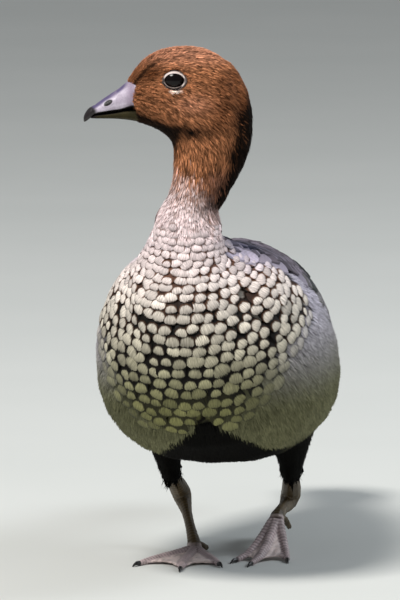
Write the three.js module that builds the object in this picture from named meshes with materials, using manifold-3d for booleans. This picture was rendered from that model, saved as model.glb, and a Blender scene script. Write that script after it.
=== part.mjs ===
// A life-size Australian wood duck drake (Chenonetta jubata), walking, with its head turned to its right.
// Millimetres, +Z up. The duck faces -Y, its left side is +X, and it stands on the floor at Z = 0.
// Flesh and plumage are lofts through upright rings, parted by thin gaps where the parts are named.
import * as THREE from "three";
import { mergeVertices } from "three/addons/utils/BufferGeometryUtils.js";
import Module from "manifold-3d";

const wasm = await Module();
wasm.setup();

// ---------------------------------------------------------------- driving sizes
const GAP = 0.3; // clearance between neighbouring solids
const RING_SIDES = 24; // facets round the trunk, neck and head
const HEAD_YAW = 78; // how far the head is turned to the bird's right, in degrees
const HEAD_AXIS = [2, -55]; // x and y of the upright line that the head's stations are measured from
const HEAD_HEIGHT = 260.3; // height of the head's own origin, level with the middle of the skull
const TRUNK_AXIS = [0, 0]; // x and y of the upright line that the trunk's stations are measured from
const WHOLE = 400; // more than the duck's size any way, for boxes that cut
const SWAY = 2.4; // how far the belly swings to the bird's left over its planted right foot

const vec = (x, y, z) => new THREE.Vector3(x, y, z);
const radians = THREE.MathUtils.degToRad;

// ---------------------------------------------------------------- solids
function solid(geometry) {
  const plain = new THREE.BufferGeometry().setAttribute("position", geometry.getAttribute("position"));
  plain.setIndex(geometry.index);
  const merged = mergeVertices(plain, 1e-4);
  const mesh = new wasm.Mesh({
    numProp: 3,
    vertProperties: merged.attributes.position.array,
    triVerts: new Uint32Array(merged.index.array),
  });
  return new wasm.Manifold(mesh);
}

// A closed body from points and triangles, turned right side out if the triangles face inwards.
function closedBody(points, faces) {
  const geometry = new THREE.BufferGeometry().setFromPoints(points);
  geometry.setIndex(faces);
  const made = solid(geometry);
  if (made.volume() > 0) return made;
  for (let i = 0; i < faces.length; i += 3) {
    [faces[i + 1], faces[i + 2]] = [faces[i + 2], faces[i + 1]];
  }
  geometry.setIndex(faces);
  return solid(geometry);
}

function geometryOf(manifold) {
  const mesh = manifold.getMesh();
  const position = new Float32Array(mesh.numVert * 3);
  for (let i = 0; i < mesh.numVert; i++) {
    position.set(mesh.vertProperties.subarray(i * mesh.numProp, i * mesh.numProp + 3), i * 3);
  }
  const geometry = new THREE.BufferGeometry();
  geometry.setAttribute("position", new THREE.BufferAttribute(position, 3));
  geometry.setIndex(new THREE.BufferAttribute(mesh.triVerts, 1));
  geometry.computeVertexNormals();
  return geometry;
}

// The largest piece of a solid: a trim can leave loose slivers behind.
function largest(manifold) {
  return manifold.decompose().reduce((a, b) => (a.volume() > b.volume() ? a : b));
}

const middleOf = (ring) => ring.reduce((sum, p) => sum.add(p), vec(0, 0, 0)).divideScalar(ring.length);

// A ring with every point moved outwards in its plane by `grow`.
function swellRing(ring, grow) {
  const sides = ring.length;
  const next = (i) => ring[(i + 1) % sides];
  const normal = ring.reduce((sum, p, i) => sum.add(p.clone().cross(next(i))), vec(0, 0, 0)).normalize();
  return ring.map((p, i) => {
    const tangent = next(i).clone().sub(ring[(i + sides - 1) % sides]);
    return p.clone().addScaledVector(tangent.cross(normal).normalize(), grow);
  });
}

// The same rings moved outwards by `grow`, and the end rings moved on by as much.
function swell(rings, grow) {
  const middles = rings.map(middleOf);
  const onwards = (from, to) => middles[to].clone().sub(middles[from]).setLength(grow);
  const last = rings.length - 1;
  return rings.map((ring, r) => {
    const shift = r === 0 ? onwards(1, 0) : r === last ? onwards(last - 1, last) : vec(0, 0, 0);
    return swellRing(ring, grow).map((p) => p.add(shift));
  });
}

// A closed body through rings that all have the same number of points, with a fan over each end.
function loft(plainRings, grow = 0) {
  const rings = grow > 0 ? swell(plainRings, grow) : plainRings;
  const sides = rings[0].length;
  const points = rings.flat();
  const first = points.push(middleOf(rings[0])) - 1;
  const last = points.push(middleOf(rings.at(-1))) - 1;
  const faces = [];
  for (let side = 0; side < sides; side++) {
    const next = (side + 1) % sides;
    faces.push(first, next, side);
    for (let r = 0; r + 1 < rings.length; r++) {
      const a = r * sides;
      const b = a + sides;
      faces.push(a + side, a + next, b + next, a + side, b + next, b + side);
    }
    const end = (rings.length - 1) * sides;
    faces.push(last, end + side, end + next);
  }
  return closedBody(points, faces);
}

// A value that runs smoothly through a list, read at t stations from its start.
function along(values, t) {
  const curve = new THREE.SplineCurve(values.map((value, i) => new THREE.Vector2(i, value)));
  return curve.getPoint(t / (values.length - 1)).y;
}

// ---------------------------------------------------------------- trunk, neck and head
// Forward and sideways at a turn of `yaw` degrees to the bird's right.
const forwardAt = (yaw) => vec(-Math.sin(radians(yaw)), -Math.cos(radians(yaw)), 0);
const leftAt = (yaw) => vec(Math.cos(radians(yaw)), -Math.sin(radians(yaw)), 0);

// A station is a ring between a dorsal and a ventral point, each [forward, height] from an upright axis,
// with how far it lies to the left where the belly sways with the step. `widest` is how far down the ring
// its full half-width lies, and `square` how square it is above and below that, 2 for an ellipse.
function station(dorsal, ventral, halfWidth, widest, square = [2.1, 2.1], yaw = 0, axis = TRUNK_AXIS) {
  const place = ([forward, height, aside = 0]) =>
    forwardAt(yaw).multiplyScalar(forward).add(vec(axis[0] + aside, axis[1], height));
  const [squareTop, squareBottom] = square;
  const shape = { halfWidth, widest, squareTop, squareBottom, yaw };
  return { dorsal: place(dorsal), ventral: place(ventral), ...shape };
}

function headStation([dorsalForward, dorsalUp], [ventralForward, ventralUp], halfWidth, widest, square) {
  const dorsal = [dorsalForward, HEAD_HEIGHT + dorsalUp];
  const ventral = [ventralForward, HEAD_HEIGHT + ventralUp];
  return station(dorsal, ventral, halfWidth, widest, square, HEAD_YAW, HEAD_AXIS);
}

const STATIONS = [
  // tail coverts, vent, belly and back
  station([-148, 110], [-146, 97], 13, 0.5),
  station([-125, 125], [-121, 85], 24, 0.54),
  station([-98, 142], [-91, 71, 2], 38, 0.58, [2, 2.15]),
  station([-68, 158.5], [-58, 61, SWAY], 52, 0.6, [1.95, 2.2]),
  station([-35, 170.5], [-24, 56, SWAY], 60.5, 0.6, [1.95, 2.3]),
  station([-6, 175.5], [10, 55.8, SWAY], 62, 0.57, [2.1, 2.4]),
  // breast
  station([20, 178], [42, 60.5, SWAY], 61.5, 0.53, [2.2, 2.4]),
  station([32, 180.5], [71, 73.5, 2], 56.5, 0.51, [2.15, 2.3]),
  station([38, 183], [90, 99.5], 45.5, 0.5, [2.1, 2.2]),
  station([40, 186], [97, 127], 30.8, 0.5, [2, 2.1], 0, [-2, 0]),
  station([41, 190], [93, 150.5], 25, 0.5, [2, 2], 4, [-4, 0]),
  // neck, which turns with the head
  station([-19.3, 196], [19.5, 171.5], 20.6, 0.5, [2, 2], 14, [-6, -60]),
  station([-14.8, 207], [15, 192.5], 15.4, 0.5, [2, 2], 30, [-5.5, -58]),
  station([-15, 216], [15.4, 206.5], 14.6, 0.5, [2, 2], 52, [0.7, -55.5]),
  headStation([-17.6, -38], [14.2, -41.5], 14.6, 0.5, [2, 2]),
  // nape, crown, cheeks and throat
  headStation([-21.2, -28], [13.9, -32.5], 16, 0.5, [2, 2]),
  headStation([-23.2, -16], [14.4, -27], 17.4, 0.5),
  headStation([-22.8, -3], [16.2, -23.6], 18.3, 0.5),
  headStation([-19.6, 7.3], [18.8, -21.4], 18.8, 0.5),
  headStation([-14.2, 15.8], [21.8, -19.4], 18.8, 0.52),
  headStation([-6.5, 21.9], [24.8, -17.9], 18.4, 0.53),
  headStation([3, 24.5], [27.8, -16.7], 17.6, 0.54),
  headStation([14, 24.4], [30.5, -15.8], 16.2, 0.55),
  headStation([23.6, 21.9], [32.9, -15.1], 14.3, 0.56),
  headStation([30.8, 17], [34.8, -14.6], 12.2, 0.57),
  headStation([35.8, 10.6], [36.4, -14.2], 10, 0.58),
  headStation([39.4, 5.4], [37.6, -14], 7.8, 0.58),
];
const NECK_FROM = 11; // the neck runs between these stations
const NECK_TO = 14.5;
const HEAD_TO = STATIONS.length - 1;
const MEAN_SPACING = 12; // mm between stations, near enough to turn a gap into a share of a station

const dorsalCurve = new THREE.CatmullRomCurve3(STATIONS.map((s) => s.dorsal));
const ventralCurve = new THREE.CatmullRomCurve3(STATIONS.map((s) => s.ventral));

// The ring t stations along.
function bodyRing(t) {
  const dorsal = dorsalCurve.getPoint(t / HEAD_TO);
  const ventral = ventralCurve.getPoint(t / HEAD_TO);
  const of = (key) => along(STATIONS.map((s) => s[key]), t);
  const [halfWidth, widest] = [of("halfWidth"), of("widest")];
  const [squareTop, squareBottom] = [of("squareTop"), of("squareBottom")];
  const down = ventral.clone().sub(dorsal);
  const left = leftAt(of("yaw"));
  return Array.from({ length: RING_SIDES }, (_, i) => {
    const angle = (2 * Math.PI * i) / RING_SIDES;
    const power = 2 / (Math.cos(angle) > 0 ? squareTop : squareBottom);
    const round = (value) => Math.sign(value) * Math.abs(value) ** power;
    const cos = round(Math.cos(angle));
    const share = cos > 0 ? widest * (1 - cos) : widest - (1 - widest) * cos;
    return dorsal
      .clone()
      .addScaledVector(down, share)
      .addScaledVector(left, halfWidth * round(Math.sin(angle)));
  });
}

// The body between two stations. It has a ring at each end and at each station between, and at the half
// stations too where its line turns more quickly, from the breast to the bill.
const FINE_FROM = 7;
const SAME_STATION = 0.02; // stations nearer than this count as one
function bodySpan(from, to, grow = 0) {
  const places = [from];
  for (let t = 0; t < to - SAME_STATION; t += t < FINE_FROM ? 1 : 0.5) {
    if (t > from + SAME_STATION) places.push(t);
  }
  return loft([...places, to].map(bodyRing), grow);
}

const gapShare = GAP / MEAN_SPACING;
const trunkWhole = bodySpan(0, NECK_FROM - gapShare);
const trunkGrown = bodySpan(0, NECK_FROM, GAP);
const neckWhole = bodySpan(NECK_FROM, NECK_TO - gapShare);
const headWhole = bodySpan(NECK_TO, HEAD_TO);
const headAndNeckGrown = bodySpan(NECK_FROM, HEAD_TO, GAP);

// ---------------------------------------------------------------- places on the head
// forward, left and up from the head's origin
const onHead = (forward, left, up) =>
  forwardAt(HEAD_YAW)
    .multiplyScalar(forward)
    .addScaledVector(leftAt(HEAD_YAW), left)
    .add(vec(HEAD_AXIS[0], HEAD_AXIS[1], HEAD_HEIGHT + up));

// A tube or blade on the head: each station is [forward, up, half width, half height, tilt],
// and its ring stands across the bird's length, leaning back by the tilt. Its top and bottom are
// rounded by their powers: above 1 for a ridge, and below 1 for a flat.
function headLoft(stations, sides, steps, topPower, bottomPower, grow = 0) {
  const of = (key, t) => along(stations.map((s) => s[key]), t);
  const count = Math.round((stations.length - 1) * steps);
  return loft(
    Array.from({ length: count + 1 }, (_, i) => {
      const t = ((stations.length - 1) * i) / count;
      const [forward, up, halfWidth, halfHeight, tilt] = [0, 1, 2, 3, 4].map((key) => of(key, t));
      return Array.from({ length: sides }, (_, k) => {
        const angle = (2 * Math.PI * k) / sides;
        const cos = Math.cos(angle);
        const rise = Math.sign(cos) * Math.abs(cos) ** (cos > 0 ? topPower : bottomPower);
        const lift = halfHeight * rise;
        return onHead(
          forward - lift * Math.sin(radians(tilt)),
          halfWidth * Math.sin(angle),
          up + lift * Math.cos(radians(tilt)),
        );
      });
    }),
    grow,
  );
}

// ---------------------------------------------------------------- bill
const BILL_SIDES = 14;
// The upper bill from inside the forehead to the hooked nail: high at its base, low and round at its tip.
const UPPER_BILL = [
  [33, -0.1, 8.2, 8.5, 0],
  [37.5, -1.4, 8, 7.6, 0],
  [42, -3.1, 7.4, 6.4, 0],
  [46.5, -4.9, 6.7, 5.1, 0],
  [51, -6.7, 6, 3.9, 0],
  [55.5, -8.6, 5.1, 2.6, 0],
  [59, -11.2, 3.9, 3, 0],
  [61.4, -13.4, 2.1, 2, 0],
];
const LOWER_BILL = [
  [33, -12, 6.6, 2.6, 0],
  [39, -12.2, 6.3, 2, 0],
  [45, -12.4, 5.5, 1.6, 0],
  [51, -12.7, 4.7, 1.4, 0],
  [55.5, -13, 3.8, 1.1, 0],
  [57.8, -13.2, 2.4, 0.7, 0],
];
const BILL_RIDGE = 1.15;
const BILL_FLAT = 0.5;
const upperBillWhole = (grow) => headLoft(UPPER_BILL, BILL_SIDES, 2, BILL_RIDGE, BILL_FLAT, grow);
const lowerBillWhole = headLoft(LOWER_BILL, BILL_SIDES, 1, BILL_FLAT, 1);
const NOSTRIL = { forward: 48.7, up: -4.6, halfLength: 2.4, halfHeight: 1.15, slope: 30 };
const BORE_LENGTH = 30; // more than the bill's width
const BORE_ARCS = 7; // facets to each quarter of the bore

// The nostrils open right through the bill, as a duck's do.
function nostrilBore() {
  const { forward, up, halfLength, halfHeight, slope } = NOSTRIL;
  const oval = new THREE.Shape();
  oval.absellipse(0, 0, halfLength, halfHeight, 0, 2 * Math.PI, false, radians(slope));
  const extrusion = { depth: BORE_LENGTH, bevelEnabled: false, curveSegments: BORE_ARCS };
  const geometry = new THREE.ExtrudeGeometry(oval, extrusion);
  geometry.translate(0, 0, -BORE_LENGTH / 2);
  const across = new THREE.Matrix4().makeBasis(
    forwardAt(HEAD_YAW).negate(),
    vec(0, 0, 1),
    leftAt(HEAD_YAW).negate(),
  );
  geometry.applyMatrix4(across);
  const { x, y, z } = onHead(forward, 0, up);
  geometry.translate(x, y, z);
  geometry.setIndex(Array.from({ length: geometry.getAttribute("position").count }, (_, i) => i));
  return solid(geometry);
}

// ---------------------------------------------------------------- eyes
const EYE = { radius: 6.2, forward: 13.8, left: 12.6, up: 7.7, sides: 14 };
const eyePlace = (side) => onHead(EYE.forward, side * EYE.left, EYE.up);
const eyeBall = (grow = 0) => new THREE.SphereGeometry(EYE.radius + grow, EYE.sides, EYE.sides / 2);

function eyeSocket(side) {
  const geometry = eyeBall(GAP);
  const { x, y, z } = eyePlace(side);
  return solid(geometry.translate(x, y, z));
}

// ---------------------------------------------------------------- mane
// Long feathers down the nape, which stand clear of the neck at their tip.
const MANE = [
  [-14, 16.2, 5, 1.2, 45],
  [-21.2, 4.5, 8, 2.2, 63],
  [-24.2, -9.1, 9.2, 2.6, 84],
  [-24.1, -19.9, 9.6, 2.6, 92],
  [-22.7, -30.1, 9, 2.7, 103],
  [-18.1, -41.4, 7.6, 2.5, 117],
  [-14.2, -48.8, 5.4, 2, 119],
  [-12.2, -54.4, 3, 1.3, 118],
  [-11.2, -58.2, 0.9, 0.5, 118],
];
const MANE_SIDES = 10;
const maneWhole = headLoft(MANE, MANE_SIDES, 1.5, 1, 1);

// ---------------------------------------------------------------- tail
const TAIL_CUT = 124; // the trunk ends and the tail begins this far behind the middle
const TAIL_SIDES = 16;
const TAIL_ARCH = 0.006; // drop of the vane per square millimetre off its middle
// Each station is [back, height, half width, half thickness].
const TAIL_STATIONS = [
  [112, 108.5, 17, 6],
  [130, 102.5, 21, 5],
  [150, 96, 24.5, 3.4],
  [172, 89, 27, 2.4],
  [190, 83.5, 25.5, 1.8],
  [201, 80, 19, 1.4],
  [206, 78.5, 10, 1],
];

function tailRing([back, height, halfWidth, halfThickness]) {
  return Array.from({ length: TAIL_SIDES }, (_, i) => {
    const angle = (2 * Math.PI * i) / TAIL_SIDES;
    const x = halfWidth * Math.sin(angle);
    return vec(x, back, height + halfThickness * Math.cos(angle) - TAIL_ARCH * x * x);
  });
}

// A box that keeps everything behind `back`, for parting the tail from the trunk.
function behind(back) {
  const size = 2 * WHOLE;
  return solid(new THREE.BoxGeometry(size, size, size).translate(0, back + size / 2, 0));
}
const RUMP_TO = 2; // the station where the rump ends
const tailVane = loft(TAIL_STATIONS.map(tailRing));
const tailWhole = tailVane.add(bodySpan(0, RUMP_TO)).intersect(behind(TAIL_CUT + GAP));

// ---------------------------------------------------------------- wings
// A folded wing lies on the body as a curved slab, cut here by upright planes across the body.
// Each station is [back, middle height, rise above it, half width, inner angle, outer angle, thickness,
// squareness], where the angles are taken round the body from the middle of its back.
const WING_SIDES = 16;
const WING_RINGS = 14;
const SWAY_TO = 100; // the wings swing with the belly as far back as this
const WING_EDGE_ROUND = 0.6; // how quickly the slab thickens from its edges, 1 for a half ellipse
const WING_POCKET = 8; // the trunk keeps clear of the wing this far out from it
const WING_STATIONS = [
  [-69, 126, 39, 46, 50, 63, 2, 2.3],
  [-60, 124, 53.5, 51.5, 38, 66, 8, 2.3],
  [-42, 119, 63.5, 57.8, 22, 65, 11, 2.3],
  [-15, 111, 67, 61, 11, 63, 12, 2.3],
  [15, 104.5, 71.5, 61, 6, 66, 12, 2.15],
  [45, 102.5, 66.5, 56, 5, 72, 11, 2.05],
  [75, 101, 58, 48, 5, 79, 10, 2.05],
  [100, 101, 46, 38.5, 5, 84, 9, 2.1],
  [122, 102, 32.5, 27.5, 6, 85, 7.5, 2.2],
  [145, 103.5, 18.5, 16.5, 9, 84, 6, 2.2],
  [163, 104.5, 8.5, 9, 16, 78, 4, 2.2],
  [173, 105.5, 3.5, 5.5, 30, 62, 1.6, 2.2],
];

// `lift` raises the outer face off the body.
function wingRing([back, middle, rise, halfWidth, innerAngle, outerAngle, thickness, square], side, lift) {
  const half = WING_SIDES / 2;
  const sway = back < SWAY_TO ? SWAY / 3 : 0;
  const point = (share, depth) => {
    const angle = radians(innerAngle + (outerAngle - innerAngle) * share);
    const x = (halfWidth - depth) * Math.sin(angle) ** (2 / square);
    return vec(side * x + sway, back, middle + (rise - depth) * Math.cos(angle) ** (2 / square));
  };
  return Array.from({ length: WING_SIDES }, (_, i) => {
    const share = i <= half ? i / half : 2 - i / half;
    return point(share, i <= half ? -lift : thickness * Math.sin(Math.PI * share) ** WING_EDGE_ROUND);
  });
}

function wing(side, grow = 0, lift = 0) {
  const last = WING_STATIONS.length - 1;
  const rings = Array.from({ length: WING_RINGS + 1 }, (_, i) => {
    const values = WING_STATIONS[0].map((_, key) =>
      along(WING_STATIONS.map((s) => s[key]), (last * i) / WING_RINGS),
    );
    return wingRing(values, side, lift);
  });
  return loft(rings, grow);
}

// ---------------------------------------------------------------- legs
const PATH_END = 1e-3; // a tangent is read at least this share of a path from its ends

// A limb along a smooth path: each station is [x, y, z, half width across, half depth].
function limb(stations, sides, steps, grow = 0) {
  const path = new THREE.CatmullRomCurve3(stations.map(([x, y, z]) => vec(x, y, z)));
  const count = (stations.length - 1) * steps;
  const rings = [];
  for (let i = 0; i <= count; i++) {
    const t = i / steps;
    const centre = path.getPoint(i / count);
    const tangent = path.getTangent(THREE.MathUtils.clamp(i / count, PATH_END, 1 - PATH_END));
    const left = vec(1, 0, 0).addScaledVector(tangent, -tangent.x).normalize();
    const front = new THREE.Vector3().crossVectors(tangent, left);
    const [halfWidth, halfDepth] = [3, 4].map((key) => along(stations.map((s) => s[key]), t));
    rings.push(
      Array.from({ length: sides }, (_, k) => {
        const angle = (2 * Math.PI * k) / sides;
        return centre
          .clone()
          .addScaledVector(left, halfWidth * Math.cos(angle))
          .addScaledVector(front, halfDepth * Math.sin(angle));
      }),
    );
  }
  return loft(rings, grow);
}

const FLOOR_BOX = solid(new THREE.BoxGeometry(2 * WHOLE, 2 * WHOLE, WHOLE).translate(0, 0, -WHOLE / 2));
const WEB_THICKNESS = 1.3;
const THIGH_SIDES = 12;
const SHANK_SIDES = 10;
const TOE_SIDES = 7;

// Each station of a thigh, shank or hallux is [x, y, z, half width across, half depth], from the top down.
// The right foot stands flat under the body. The left leg trails, heel up and toe tips on the floor.
const LEGS = {
  right: {
    thigh: [
      [-30, -5, 95.3, 19, 26],
      [-30.4, 8, 77.3, 14, 21],
      [-31.8, 18, 61.3, 9.4, 14],
      [-33, 28, 49.3, 6.6, 9.4],
      [-33.2, 36.5, 40.3, 5, 5.8],
    ],
    shank: [
      [-33.4, 32, 44.5, 4, 4.4],
      [-33, 43.5, 35.5, 4.5, 4.7],
      [-31.9, 54, 27.6, 5.4, 5.2],
      [-30.1, 52.5, 23, 4.3, 4.8],
      [-26.7, 44, 18.8, 2.8, 3.8],
      [-22.1, 32, 12.6, 2.6, 3.6],
      [-18.1, 21.6, 7, 3.4, 3.9],
      [-16.5, 16.6, 3.9, 4.1, 3.3],
    ],
    hallux: [
      [-18.3, 21.5, 6.6, 1.9, 1.9],
      [-15.4, 27.6, 3.8, 1.8, 1.8],
      [-13.1, 33, 1.1, 1.3, 1.5],
    ],
    toes: {
      outer: [[-18.3, 16, 2.7], [-25.7, 3.2, 2.1], [-32.7, -9.8, 1.8], [-38.3, -22, 1.35]],
      middle: [[-16.3, 15, 2.8], [-16.3, -1, 2.1], [-15.5, -17, 1.8], [-13.7, -32.4, 1.35]],
      inner: [[-14.5, 16, 2.7], [-8.3, 5.6, 2.1], [-1.9, -5, 1.8], [3.5, -14.8, 1.35]],
    },
  },
  left: {
    thigh: [
      [31.2, 4, 95.5, 20, 26],
      [34.6, 17, 77.5, 16.6, 22],
      [34.4, 30, 61.5, 10.4, 15],
      [32, 41.5, 49, 7, 9.6],
      [29.6, 52.5, 40.5, 4.9, 5.8],
    ],
    shank: [
      [31.2, 48, 44.6, 4, 4.4],
      [28, 61.5, 35, 4.7, 4.8],
      [24.1, 80, 24.6, 5.5, 5.3],
      [23.1, 78, 20.4, 4.8, 4.8],
      [23.3, 67, 19.8, 3.1, 3.8],
      [24.1, 52, 19.6, 2.9, 3.6],
      [24.7, 41, 18.8, 3.8, 4],
      [24.7, 35.6, 17.2, 4.4, 3.4],
    ],
    hallux: [
      [24.9, 43, 18.4, 1.9, 1.9],
      [27, 50, 15.2, 1.8, 1.8],
      [28.6, 54, 10.4, 1.3, 1.5],
    ],
    toes: {
      outer: [[26.5, 35, 16.8], [30.5, 25.6, 9.2], [34.1, 16.4, 3], [36.9, 6, 1.2]],
      middle: [[24.7, 34.6, 17], [23.9, 20.6, 9.4], [22.5, 5.6, 3.2], [20.5, -9.6, 1.2]],
      inner: [[22.9, 35, 16.8], [18.9, 23.6, 9.4], [14.9, 11.4, 3.1], [10.5, -1.2, 1.2]],
    },
  },
};
// Radii along a toe, from its root to its claw, with a slight swelling at each joint.
const TOE_RADII = [2.9, 2.4, 2.2, 1.9, 1.5];
const WEB_FROM = 0.02; // the web joins neighbouring toes between these shares of their length
const WEB_TO = 0.93;
const WEB_SAG = 0.2; // share of the toes' length that its front edge draws back between them
const WEB_GRID = [4, 3];

const toePath = (points) => new THREE.CatmullRomCurve3(points.map(([x, y, z]) => vec(x, y, z)));

function toe(points) {
  const path = toePath(points);
  const stations = TOE_RADII.map((radius, i) => {
    const { x, y, z } = path.getPoint(i / (TOE_RADII.length - 1));
    return [x, y, z, radius, radius];
  });
  return limb(stations, TOE_SIDES, 1);
}

// The web between two toes: a thin sheet ruled from one path to the other.
function web(points, otherPoints) {
  const [path, other] = [toePath(points), toePath(otherPoints)];
  const [rows, columns] = WEB_GRID;
  const sheet = (lift) => {
    const grid = [];
    for (let row = 0; row <= rows; row++) {
      for (let column = 0; column <= columns; column++) {
        const across = column / columns;
        const drawn = 1 - WEB_SAG * 4 * across * (1 - across);
        const share = WEB_FROM + ((WEB_TO - WEB_FROM) * row * drawn) / rows;
        grid.push(path.getPoint(share).lerp(other.getPoint(share), across).add(vec(0, 0, lift)));
      }
    }
    return grid;
  };
  const corners = [...sheet(WEB_THICKNESS / 2), ...sheet(-WEB_THICKNESS / 2)];
  const width = columns + 1;
  const lower = width * (rows + 1);
  const faces = [];
  const quad = (a, b, c, d) => faces.push(a, b, c, a, c, d);
  for (let row = 0; row < rows; row++) {
    for (let column = 0; column < columns; column++) {
      const a = row * width + column;
      quad(a, a + 1, a + width + 1, a + width);
      quad(lower + a, lower + a + width, lower + a + width + 1, lower + a + 1);
    }
  }
  for (let column = 0; column < columns; column++) {
    const end = rows * width + column;
    quad(column + 1, column, lower + column, lower + column + 1);
    quad(end, end + 1, lower + end + 1, lower + end);
  }
  for (let row = 0; row < rows; row++) {
    const a = row * width;
    const b = a + columns;
    quad(a, a + width, lower + a + width, lower + a);
    quad(b + width, b, lower + b, lower + b + width);
  }
  return closedBody(corners, faces);
}

const CLAW_LENGTH = 6.5;
const CLAW_SIDES = 6;
const CLAW_RADII = [1.45, 1.2, 0.8, 0.3];
const CLAW_ARCH = 0.45; // height of its curve over a straight line from root to tip
const CLAW_DROP = 1.1; // how far its tip lies below the end of its toe

// A claw curves on from the end of its toe and comes down to the floor.
function claw(points, grow) {
  const path = toePath(points);
  const ahead = path.getTangent(1).setZ(0).normalize();
  const start = path.getPoint(1).addScaledVector(ahead, GAP);
  const stations = CLAW_RADII.map((radius, i) => {
    const share = i / (CLAW_RADII.length - 1);
    const place = start.clone().addScaledVector(ahead, share * CLAW_LENGTH);
    const arch = 4 * CLAW_ARCH * share * (1 - share);
    return [place.x, place.y, start.z + arch - CLAW_DROP * share * share, radius, radius];
  });
  return limb(stations, CLAW_SIDES, 1, grow);
}

// The hind toe grows from the back of the shank, and is one piece with it.
function shankWithHallux(leg, grow = 0) {
  return limb(leg.shank, SHANK_SIDES, 2, grow).add(limb(leg.hallux, TOE_SIDES, 1, grow));
}

function foot(leg) {
  const { outer, middle, inner } = leg.toes;
  const parts = [toe(outer), toe(middle), toe(inner), web(outer, middle), web(middle, inner)];
  return parts.reduce((a, b) => a.add(b));
}

// ---------------------------------------------------------------- materials
const paint = (color, roughness) => new THREE.MeshStandardMaterial({ color, roughness, metalness: 0 });
const MATERIALS = {
  headFeathers: paint(0x7a4a31, 0.85),
  mane: paint(0x17110f, 0.8),
  neckFeathers: paint(0xa59488, 0.85),
  bodyFeathers: paint(0xa39a8b, 0.85),
  wingFeathers: paint(0x77717a, 0.8),
  tailFeathers: paint(0x15131a, 0.7),
  thighFeathers: paint(0x1a1714, 0.85),
  bill: paint(0x9a93a8, 0.45),
  leg: paint(0x4f443c, 0.6),
  foot: paint(0x77686a, 0.6),
  claw: paint(0x1b1819, 0.4),
  eye: paint(0x0b0708, 0.05),
};

// ---------------------------------------------------------------- the duck
const duck = new THREE.Group();

function addPart(name, made, material) {
  const mesh = new THREE.Mesh(made instanceof THREE.BufferGeometry ? made : geometryOf(made), material);
  mesh.name = name;
  duck.add(mesh);
  return mesh;
}

const wingsGrown = [1, -1]
  .flatMap((side) => [wing(side), wing(side, GAP), wing(side, GAP, WING_POCKET)])
  .reduce((a, b) => a.add(b));
const trunk = trunkWhole.subtract(behind(TAIL_CUT)).subtract(wingsGrown);
const upperBill = upperBillWhole().subtract(nostrilBore()).subtract(headAndNeckGrown);
const lowerBill = lowerBillWhole.subtract(headAndNeckGrown).subtract(upperBillWhole(GAP));
addPart("head", headWhole.subtract(eyeSocket(1)).subtract(eyeSocket(-1)), MATERIALS.headFeathers);
addPart("upper_bill", largest(upperBill), MATERIALS.bill);
addPart("lower_bill", largest(lowerBill), MATERIALS.bill);
addPart("neck", neckWhole, MATERIALS.neckFeathers);
addPart("mane", largest(maneWhole.subtract(headAndNeckGrown)), MATERIALS.mane);
addPart("trunk", largest(trunk), MATERIALS.bodyFeathers);
addPart("tail", largest(tailWhole.subtract(wingsGrown)), MATERIALS.tailFeathers);

for (const [name, side] of [["left", 1], ["right", -1]]) {
  const eye = addPart("eye_" + name, eyeBall(), MATERIALS.eye);
  eye.position.copy(eyePlace(side));
  addPart("wing_" + name, wing(side), MATERIALS.wingFeathers);
}

for (const [name, leg] of Object.entries(LEGS)) {
  const thighWhole = limb(leg.thigh, THIGH_SIDES, 2);
  const shank = shankWithHallux(leg);
  const shankGrown = shankWithHallux(leg, GAP);
  const clawsGrown = Object.values(leg.toes)
    .map((points) => claw(points, GAP))
    .reduce((a, b) => a.add(b));
  const thigh = thighWhole.subtract(trunkGrown).subtract(shankGrown);
  const footCut = foot(leg).subtract(shankGrown).subtract(clawsGrown).subtract(FLOOR_BOX);
  addPart("thigh_" + name, largest(thigh), MATERIALS.thighFeathers);
  addPart("shank_" + name, largest(shank.subtract(FLOOR_BOX)), MATERIALS.leg);
  addPart("foot_" + name, largest(footCut), MATERIALS.foot);
  for (const [digit, points] of Object.entries(leg.toes)) {
    addPart(`claw_${name}_${digit}`, largest(claw(points).subtract(FLOOR_BOX)), MATERIALS.claw);
  }
}

// The origin is the middle of the whole duck's box, on the floor.
const box = new THREE.Box3().setFromObject(duck);
const centre = box.getCenter(vec(0, 0, 0));
for (const part of duck.children) part.position.sub(vec(centre.x, centre.y, 0));

export default duck;
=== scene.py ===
"""A life-size Australian wood duck drake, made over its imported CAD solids.

Everything is in metres in the solids' frame: the duck faces -Y, its left side is +X, and it stands
on the floor at Z = 0. Sizes are given in millimetres times MM, and colours as screen values.
"""

import math
from dataclasses import dataclass

import bmesh
import bpy
import numpy as np
from mathutils import Matrix, Vector
from mathutils.bvhtree import BVHTree
from mathutils.kdtree import KDTree


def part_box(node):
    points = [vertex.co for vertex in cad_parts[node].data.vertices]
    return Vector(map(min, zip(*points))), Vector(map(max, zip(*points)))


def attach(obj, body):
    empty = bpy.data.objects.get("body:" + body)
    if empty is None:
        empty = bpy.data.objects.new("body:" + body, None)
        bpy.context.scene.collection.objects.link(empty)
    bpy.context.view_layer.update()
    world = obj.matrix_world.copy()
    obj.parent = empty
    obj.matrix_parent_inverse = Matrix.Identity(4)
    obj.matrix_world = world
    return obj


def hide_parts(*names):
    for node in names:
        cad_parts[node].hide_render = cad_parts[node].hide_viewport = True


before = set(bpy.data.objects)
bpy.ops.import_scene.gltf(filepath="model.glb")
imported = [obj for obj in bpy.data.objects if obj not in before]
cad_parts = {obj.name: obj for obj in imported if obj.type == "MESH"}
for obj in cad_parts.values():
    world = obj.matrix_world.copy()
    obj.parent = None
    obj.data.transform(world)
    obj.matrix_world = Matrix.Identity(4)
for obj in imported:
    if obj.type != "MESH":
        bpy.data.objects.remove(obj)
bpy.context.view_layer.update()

MM = 0.001
TINY = 1e-9  # keeps divisions by nothing away
UP = np.array([0.0, 0.0, 1.0])
SIDES = {"left": 1, "right": -1}
chance = np.random.default_rng(7)


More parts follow.
